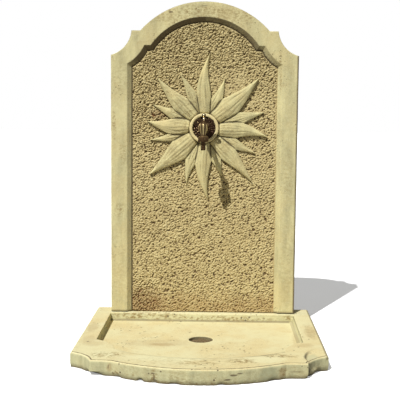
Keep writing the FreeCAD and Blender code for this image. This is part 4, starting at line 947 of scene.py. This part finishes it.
def add_petal(bm, leaf, others):
    """Lay a grid over the leaf, dome and groove it, cut a line where it meets another, and paint
    shade in the grooves, joints and walls.
    """
    petal_shade = bm.verts.layers.float.get("dirt_and_shade") or bm.verts.layers.float.new("dirt_and_shade")
    before = set(bm.verts)
    grid = bmesh.ops.create_grid(bm, x_segments=64, y_segments=36, size=0.5)["verts"]
    near = [other for other in others if other is not leaf
            and abs((other.angle - leaf.angle + 180) % 360 - 180) < 62]
    for vert in grid:
        share, side = vert.co.x + 0.5, vert.co.y * 2
        side = math.copysign(1 - (1 - abs(side)) ** 1.2, side)
        flat = leaf.place(share, side)
        height = leaf.swell(share, side)
        joint = 0.0
        for other in near:
            there, across = other.find(flat)
            if abs(across) < 1 and 0 < there < 1:
                joint = max(joint, bell(height - other.swell(there, across), 2.1))
        cut = leaf.line_cut(share, side)
        root = 1 - ease(ROOT + (leaf.reach - ROOT) * share, 47.5, 51.5)
        height += 0.6 * noise.noise(Vector((flat.x * 0.05, leaf.seed, flat.y * 0.05)))
        height -= 2.4 * cut + 2.6 * joint * ease(share, 0.0, 0.05) + 3.0 * root * root
        # Painted shade in the grooves, where petals meet, and at the roots by the ring.
        vert[petal_shade] = min(1.0, max(0.38 * cut, joint, 0.9 * root * root))
        vert.co = Vector((flat.x * MM, FIELD - height * MM, FLOWER.y + flat.y * MM))
    rim = [edge for edge in bm.edges if edge.is_boundary and edge.verts[0] not in before]
    # The petal's walls are painted dark, as painted shade under the petals.
    for back, shade_and_grime in ((1.6, 0.55), (None, 0.9)):
        made = bmesh.ops.extrude_edge_only(bm, edges=rim)["geom"]
        for vert in verts_of(made):
            vert.co.y = vert.co.y + back * MM if back else 288 * MM
            vert[petal_shade] = shade_and_grime
        rim = [edge for edge in edges_of(made) if edge.is_boundary]
    bmesh.ops.contextual_create(bm, geom=rim)


leaves = [Leaf(*petal, 8.0, 13.5, 0.5, index + 20.0) for index, petal in enumerate(NARROW)]
leaves += [Leaf(*petal, 10.5, 19.5, 0.0, index + 1.0) for index, petal in enumerate(BROAD)]
flower = bmesh.new()
for leaf in leaves:
    add_petal(flower, leaf, leaves)
bmesh.ops.recalc_face_normals(flower, faces=flower.faces[:])
finish_piece(flower, "sunflower_petals", stone_petal, replaces=["sunflower_relief"], smooth=55)


# %% Turned pieces
def lathe(bm, profile, axis, centre, segments=72):
    """Spin a closed profile of (radius, position) pairs in millimetres round an axis."""
    centre = Vector(centre) * MM
    verts = []
    for radius, position in profile:
        spot = ((radius * MM, position * MM, centre.z) if axis == "Y"
                else (centre.x + radius * MM, centre.y, position * MM))
        if verts:
            made = bmesh.ops.extrude_vert_indiv(bm, verts=[verts[-1]])["verts"][0]
            made.co = spot
        else:
            made = bmesh.ops.create_vert(bm, co=spot)["vert"][0]
        verts.append(made)
    edges = edges_around(verts)
    if profile[0][0] > 1e-6 or profile[-1][0] > 1e-6:
        edges += bmesh.ops.contextual_create(bm, geom=[verts[0], verts[-1]])["edges"]
    direction = (0, 1, 0) if axis == "Y" else (0, 0, 1)
    bmesh.ops.spin(bm, geom=verts + edges, cent=centre, axis=direction, angle=math.tau,
                   steps=segments, use_merge=True, use_duplicate=False)
    bmesh.ops.remove_doubles(bm, verts=bm.verts[:], dist=1e-6)
    bmesh.ops.recalc_face_normals(bm, faces=bm.faces[:])


HEART = (0, 0, 648)
hub = bmesh.new()
lathe(hub, [(9.5, 274.2), (9.5, 288), (47, 288), (47, 274.2)], "Y", HEART)
finish_piece(hub, "flower_hub", stone_ring, replaces=["sunflower_relief"])
ring = bmesh.new()
lathe(ring, [(37, 274.9), (37, 264.2), (37.8, 262.6), (39.6, 261.5), (44.4, 261.5), (46.2, 262.6),
             (47.2, 264.4), (47.4, 274.9)], "Y", HEART, 128)
weather(ring, 0.25 * MM, 40, 160)
finish_piece(ring, "collar_ring", stone_ring, replaces=["flower_ring"])

# %% [markdown]
# ## The tap
# The tap is cast, turned and filed brass that has gone brown outdoors. Fingers keep worn spots
# bright, and the bright stripes down the knob, the hub and the fluted drop, the nut's bright lip
# and the glints on the rosette are painted highlights. Turned parts are profiles that we spin. Each
# nut is a short six-sided cone; its rims and corners are bevelled, as a lathe would leave them.

# %% Brass
def aged_brass(name, bright, dull, wear, rough=(0.22, 0.5)):
    """Brass under a brown skin; wear is how much bright metal shows where nothing rubs it."""
    metal = Finish(name)
    clouds = metal.noise(150, 5, 0.65)
    specks = metal.noise(650, 3, 0.6)
    shown = metal.step(clouds + (specks - 0.5) * 0.5, 0.75 - wear * 0.5, 0.85 - wear * 0.3)
    # The number painted on the mesh adds worn metal and painted highlights; below nought it dulls
    # the metal.
    rub_and_sheen_shown = metal.painted("rub_and_sheen") * metal.step(specks, 0.15, 0.45)
    shown = metal.math("MINIMUM", shown + rub_and_sheen_shown, 1.0)
    colour = metal.mix(shown, dull, bright)
    return metal.surface(
        Base_Color=colour, Metallic=metal.step(shown, 0.0, 1.0, 0.6, 1.0),
        Roughness=metal.step(shown, 0.0, 1.0, rough[1], rough[0]), Specular_IOR_Level=0.2,
        Normal=metal.bump(specks + clouds * 0.6, 0.2))


brass_body = aged_brass("tap_brass", (0.82, 0.66, 0.31), (0.065, 0.036, 0.014), 0.16)
brass_worn = aged_brass(
    "handle_brass", (0.78, 0.64, 0.36), (0.034, 0.018, 0.008), 0.0, (0.18, 0.42))
brass_dark = aged_brass(
    "rosette_brass", (0.66, 0.46, 0.22), (0.024, 0.010, 0.004), 0.0, (0.3, 0.5))


def paint_rub_and_sheen(bm, share_of):
    """Paint how bright each point of a brass piece shows: worn metal and painted highlights, and
    below nought dulled metal.
    """
    rub_and_sheen = bm.verts.layers.float.get("rub_and_sheen") or bm.verts.layers.float.new("rub_and_sheen")
    for vert in bm.verts:
        vert[rub_and_sheen] = share_of(vert.co)


# %% Rosette with a chased rim
rosette = bmesh.new()
lathe(rosette, [(9.5, 274.8), (9.5, 269), (19, 269), (20.4, 270.6), (23, 271.3), (26, 270.9),
                (29, 271.4), (32, 270.8), (34.5, 271.2), (36.4, 270.2), (36.6, 274.8)],
      "Y", HEART, 96)
rosette.normal_update()
around = [face for face in rosette.faces if face.normal.y < -0.5]
bmesh.ops.subdivide_edges(rosette, edges=once(edge for face in around for edge in face.edges),
                          cuts=1, use_grid_fill=True)
for vert in rosette.verts:
    out = (vert.co.xz - FLOWER).length
    if 0.0205 < out < 0.036 and vert.co.y < 0.2735:
        turn = math.atan2(vert.co.z - FLOWER.y, vert.co.x)
        chase = math.cos(turn * 18 + 260 * out) * math.cos(turn * 6 - 420 * out)
        vert.co.y += (chase * 1.3 + noise.noise(vert.co * 300) * 1.2) * MM
# Painted highlights on the chased crests, and the tap's painted shadow dulling the right half.
paint_rub_and_sheen(rosette, lambda co: (
    ease(0.2712 - co.y, 0.0004, 0.0016) * ease(noise.noise(co * 260), -0.1, 0.25)
    * (1 - 0.8 * ease(co.x, -0.004, 0.012))))
finish_piece(rosette, "chased_rosette", brass_dark, replaces=["rosette"], smooth=60)


# %% Nuts and collars
NUT_CHAMFER, NUT_CORNER = 1.1 * MM, 0.7 * MM


def nut(bm, across_flats, low, high, centre, axis="Z", turn=0.0):
    """A hexagon nut with turned corners, standing between two levels along an axis."""
    corner, along = across_flats / math.sqrt(3) * MM, "XYZ".index(axis)
    spot = Vector(centre) * MM
    spot[along] = (low + high) / 2 * MM
    stand = Matrix.Translation(spot)
    if axis == "Y":
        stand = stand @ Matrix.Rotation(math.radians(90), 4, "X")
    stand = stand @ Matrix.Rotation(math.radians(turn), 4, "Z")
    made = bmesh.ops.create_cone(bm, cap_ends=True, segments=6, radius1=corner, radius2=corner,
                                 depth=(high - low) * MM, matrix=stand)["verts"]

    def rise(edge):
        return abs((edge.verts[0].co - edge.verts[1].co)[along])

    round_edges(bm, [edge for edge in edges_around(made) if rise(edge) < 1e-6], NUT_CHAMFER, 2)
    sides = [edge for edge in bm.edges if rise(edge) > 1 * MM
             and len({face for vert in edge.verts for face in vert.link_faces}) < 9]
    round_edges(bm, sides, NUT_CORNER, 2)


VALVE, SPOUT = (0, 223, 0), (0, 145, 0)
SPINDLE_BORE = 4.2
body = bmesh.new()
lathe(body, [(0, 252), (8.3, 252), (8.5, 249.2), (10.4, 248.6), (10.6, 247), (10.4, 245.4),
             (8.5, 244.8), (8.4, 231), (0, 231)], "Y", HEART)
lathe(body, [(0, 269.2), (16.8, 269.2), (17.2, 268.4), (16.6, 267), (12, 266.6), (12, 258.4),
             (8.6, 252.5), (0, 252.5)], "Y", HEART)
lathe(body, [(0, 215), (6.8, 215), (6.8, 187.2), (8.6, 186.2), (8.9, 183.8), (8.6, 181.2),
             (6.8, 180.4), (6.8, 150), (0, 150)], "Y", (0, 0, 653))
nut(body, 27, 258, 267, HEART, "Y")
lathe(body, [(0, 633), (5.5, 633.2), (9.6, 636), (12, 640.5), (13, 646), (12.2, 650), (11.8, 653),
             (12.2, 656), (13, 658.2), (13, 660), (7.5, 660), (7.5, 646.5), (0, 646.5)],
      "Z", VALVE)
before = set(body.verts)
lathe(body, [(0, 668), (5.2, 667), (9.2, 664), (11.4, 661), (12, 657.5), (11.7, 653), (11.0, 648),
             (10.0, 642), (9.0, 636), (8.1, 630.5), (7.9, 627.6), (12.4, 626.6), (13, 625.6),
             (13, 616.2), (12.4, 615.4), (8, 615.4), (8, 626), (0, 626)], "Z", SPOUT, 128)
rub_and_sheen = body.verts.layers.float.new("rub_and_sheen")
FLUTE_FOOT, FLUTE_TOP, FLUTES = 0.628, 0.664, 6
for vert in body.verts:
    if vert in before or not FLUTE_FOOT < vert.co.z < FLUTE_TOP:
        continue
    out = Vector((vert.co.x, vert.co.y - 0.145))
    turn = math.atan2(out.x, -out.y)
    crest = max(0.0, math.cos(FLUTES * turn)) ** 2
    along = min(1.0, (vert.co.z - FLUTE_FOOT) / 0.004, (FLUTE_TOP - vert.co.z) / 0.004)
    vert.co.xy += out.normalized() * (1.3 * crest - 1.0) * along * MM
    # A painted highlight stripe down the front of the fluted drop; the flute crests are worn bright
    # and carry painted highlights too.
    vert[rub_and_sheen] = along * (1.0 if abs(turn) < 0.16 else 0.04 + 0.72 * crest)
for vert in body.verts:
    if vert.co.y > 0.235:
        vert[rub_and_sheen] = -0.8
finish_piece(body, "tap_casting", brass_body, replaces=["tap_body"])

bonnet = bmesh.new()
nut(bonnet, 20, 661, 665.6, VALVE)
carve(bonnet, [rod(SPINDLE_BORE, (0, 223, 655), (0, 223, 675))])
lathe(bonnet, [(SPINDLE_BORE, 665), (9, 665), (8.8, 666), (7.2, 666.4), (7, 669),
               (SPINDLE_BORE, 669)], "Z", VALVE)
lathe(bonnet, [(SPINDLE_BORE, 659.6), (10.9, 659.6), (11, 661.1), (SPINDLE_BORE, 661.1)],
      "Z", VALVE)
finish_piece(bonnet, "headpiece", brass_body, replaces=["bonnet"])
gland = bmesh.new()
nut(gland, 17, 665.6, 670.4, VALVE, turn=12)
carve(gland, [rod(SPINDLE_BORE, (0, 223, 655), (0, 223, 675))])
finish_piece(gland, "packing_nut", brass_body, replaces=["gland_nut"])
union = bmesh.new()
nut(union, 32, 608.2, 623.4, SPOUT)
lathe(union, [(0, 623), (13.9, 623), (14.1, 624.4), (13.2, 624.8), (0, 624.8)], "Z", SPOUT)
# A painted highlight on the nut's top lip; the rest of the nut is dulled.
paint_rub_and_sheen(union, lambda co: 1.0 if co.z > 0.6237 else -0.3)
finish_piece(union, "spout_nut", brass_body, replaces=["union_nut"])
tail = bmesh.new()
lathe(tail, [(4.7, 610), (6.8, 610), (6.8, 600.6), (7.5, 599.8), (7.5, 598), (6.6, 594.8),
             (6.6, 594.6), (7.5, 593.8), (7.5, 592), (6.6, 588.8), (6.6, 588.6), (7.5, 587.8),
             (7.5, 586), (6.6, 582.4), (6.0, 582), (4.9, 582), (4.7, 582.6)], "Z", SPOUT)
finish_piece(tail, "ribbed_tail", brass_body, replaces=["hose_tail"])

# %% [markdown]
# ## The handle
# The butterfly handle is a flat cast plate: two wings with finger holes, leaning up from a
# round hub. The outline is traced once, pushed to its thickness and rounded all round.

# %% Butterfly handle and finial
WING = [(-5, 671.4), (5, 671.4), (11, 667.2), (18, 661.8, 3), (27, 661.8, 4), (28.5, 667.5, 2),
        (23.5, 673.8, 2), (15, 677.4, -2), (5.5, 676.8), (-5.5, 676.8, -2), (-15, 677.4, 2),
        (-23.5, 673.8, 2), (-28.5, 667.5, 4), (-27, 661.8, 3), (-18, 661.8), (-11, 667.2)]
handle = bmesh.new()
push(handle, [trace(handle, scaled(WING), "XZ", 220.6 * MM, step=1.2 * MM)], (0, 4.8 * MM, 0))
carve(handle, [rod(4, (side * 20.5, 210, 668), (side * 20.5, 236, 668)) for side in (-1, 1)])
handle.normal_update()
rims = []
for edge in handle.edges:
    tilt = sorted(abs(face.normal.y) for face in edge.link_faces)
    if len(tilt) == 2 and tilt[0] < 0.75 and tilt[1] > 0.9:
        rims.append(edge)
round_edges(handle, rims, 1.5 * MM, 3)
# The wing's front rims are worn bright and carry painted highlights.
paint_rub_and_sheen(handle, lambda co: 0.8 if 0.22075 < co.y < 0.2235 and abs(co.x) > 0.004 else 0.0)
lathe(handle, [(0, 671.2), (5.6, 671.2), (6.1, 672), (6.1, 678.2), (5.4, 679), (0, 679)],
      "Z", VALVE)
# A painted highlight stripe down the front of the hub.
for vert in handle.verts:
    if vert.co.y < 0.2185 and abs(vert.co.x) < 0.0024:
        vert[handle.verts.layers.float["rub_and_sheen"]] = 1.0
finish_piece(handle, "wing_handle", brass_worn, body="handle", replaces=["butterfly_handle"])
knob = bmesh.new()
lathe(knob, [(0, 679), (4.6, 679), (4.4, 680.6), (3.2, 681.8), (3.1, 683.4), (4.4, 684.6),
             (5.9, 686.6), (6.2, 689.2), (5.6, 692), (3.9, 694.2), (1.6, 695), (0, 695.1)],
      "Z", VALVE)
# A painted highlight stripe down the front of the knob.
paint_rub_and_sheen(knob, lambda co: 1.0 if co.y < 0.223 and abs(co.x + 0.0006) < 0.0016 else 0.0)
finish_piece(knob, "knob", brass_worn, body="handle", replaces=["handle_finial"])

# %% [markdown]
# ## What stays from the CAD model
# Washers, dowels, the nipple and the fixings behind the panel already have their true shape, so
# their own solids stay and only get a finish: zinc, rubber, fibre, or the same brass.

# %% Finishes for the carried-over parts
def plain_finish(name, first, second, scale, rough, metallic=0.0, depth=0.15, grain=900):
    """A finish of two tones in clouds, with fine grain."""
    made = Finish(name)
    clouds = made.step(made.noise(scale, 5, 0.62), 0.35, 0.68)
    fine = made.noise(grain, 3, 0.6)
    return made.surface(Base_Color=made.mix(clouds, first, second), Metallic=metallic,
                        Roughness=made.step(clouds + fine * 0.3, 0.2, 1.1, rough[0], rough[1]),
                        Normal=made.bump(fine + clouds * 0.5, depth))


finishes = {slot: plain_finish(*look) for slot, look in {
    "mortar": ("bed_mortar", (0.36, 0.27, 0.14), (0.22, 0.15, 0.07), 120, (0.9, 0.98), 0, 0.8,
               500),
    "steel": ("zinc_coat", (0.55, 0.56, 0.57), (0.38, 0.39, 0.41), 90, (0.32, 0.55), 1.0),
    "plastic": ("plug_plastic", (0.42, 0.43, 0.44), (0.36, 0.37, 0.38), 60, (0.45, 0.6)),
    "rubber": ("washer_rubber", (0.03, 0.03, 0.03), (0.06, 0.055, 0.05), 140, (0.6, 0.8)),
    "fibre": ("pressed_fibre", (0.42, 0.13, 0.06), (0.30, 0.09, 0.05), 260, (0.7, 0.85)),
    "packing": ("packing_cord", (0.62, 0.58, 0.46), (0.48, 0.43, 0.30), 400, (0.6, 0.8)),
}.items()}
finishes.update(brass=brass_body, stone=stone_frame)
slots = {row["node"]: row["material_slot"] for row in frame["record"]["subparts"]}
for name, node in frame["nodes"].items():
    for place in node.material_slots:
        place.material = finishes[slots[name]]
print("carried-over parts finished:", len(slots))

# %% [markdown]
# ## Floor, light and camera
# The photograph was taken in sun from the upper left, and the field only reads as rough
# because that light grazes it. So one slightly softened sun keys the scene, and an even pale
# surround fills its shadows. The surround and the floor look white to the camera, to metal and
# through glass, but light the stone only gently.

# %% Floor and surround
FILL_LIGHT = 0.155
sky = bpy.data.worlds.new("surround")
bpy.context.scene.world = sky
air = Finish("surround", sky)
seen = 0.0
for ray in ("Is Camera Ray", "Is Glossy Ray", "Is Transmission Ray"):
    seen = air.math("MAXIMUM", air.node("ShaderNodeLightPath", out=ray), seen)
shaded, white = (
    air.node("ShaderNodeBackground", None, {"Color": (1, 1, 1, 1), "Strength": strength})
    for strength in (FILL_LIGHT, 1.0))
blend = air.node("ShaderNodeMixShader", None, {0: seen, 1: shaded, 2: white})
air.close("ShaderNodeOutputWorld", blend)

ground = bmesh.new()
bmesh.ops.create_grid(ground, x_segments=1, y_segments=1, size=30)
floor = put_in("floor", mesh_of(ground, "floor"))
paper = Finish("pale_floor")
cloth = paper.mix(paper.noise(3, 3, 0.5), (0.84, 0.84, 0.83), (0.86, 0.86, 0.855))
path = paper.node("ShaderNodeLightPath", out="Is Camera Ray")
tone = paper.mix(path, (0.30, 0.30, 0.295), cloth)
glow = paper.mix(path, (0, 0, 0), (0.32, 0.32, 0.315))
floor.data.materials.append(paper.surface(
    Base_Color=tone, Roughness=0.9, Emission_Color=glow, Emission_Strength=1.0))

# %% Sun and camera
SUN_STRENGTH, SUN_SOFTNESS, SUN_RAYS = 4.75, math.radians(0.8), Vector((0.50, 1, -1.36))
lamp = bpy.data.lights.new("low_sun", "SUN")
lamp.energy, lamp.angle = SUN_STRENGTH, SUN_SOFTNESS
put_in("low_sun", lamp).rotation_euler = SUN_RAYS.to_track_quat("-Z", "Y").to_euler()

CAMERA_PLACE = (0.04606, -2.39351, 0.69275)
FOCAL_PIXELS, FRAME_PIXELS, SENSOR = 826.6, 400, 36
YAW, PITCH, ROLL = (math.radians(angle) for angle in (-1.228, -5.934, 0.51))
ahead = Vector((math.sin(YAW) * math.cos(PITCH), math.cos(YAW) * math.cos(PITCH), math.sin(PITCH)))
right = Vector((math.cos(YAW), -math.sin(YAW), 0))
above = right.cross(ahead)
tilt_right = math.cos(ROLL) * right + math.sin(ROLL) * above
tilt_up = math.cos(ROLL) * above - math.sin(ROLL) * right
lens = bpy.data.cameras.new("photo_camera")
lens.lens, lens.sensor_width = FOCAL_PIXELS * SENSOR / FRAME_PIXELS, SENSOR
stand = Matrix((tilt_right, tilt_up, -ahead)).transposed().to_4x4()
stand.translation = CAMERA_PLACE
camera = put_in("photo_camera", lens)
camera.matrix_world = stand
bpy.context.scene.camera = camera
bpy.context.scene.view_settings.view_transform = "Standard"
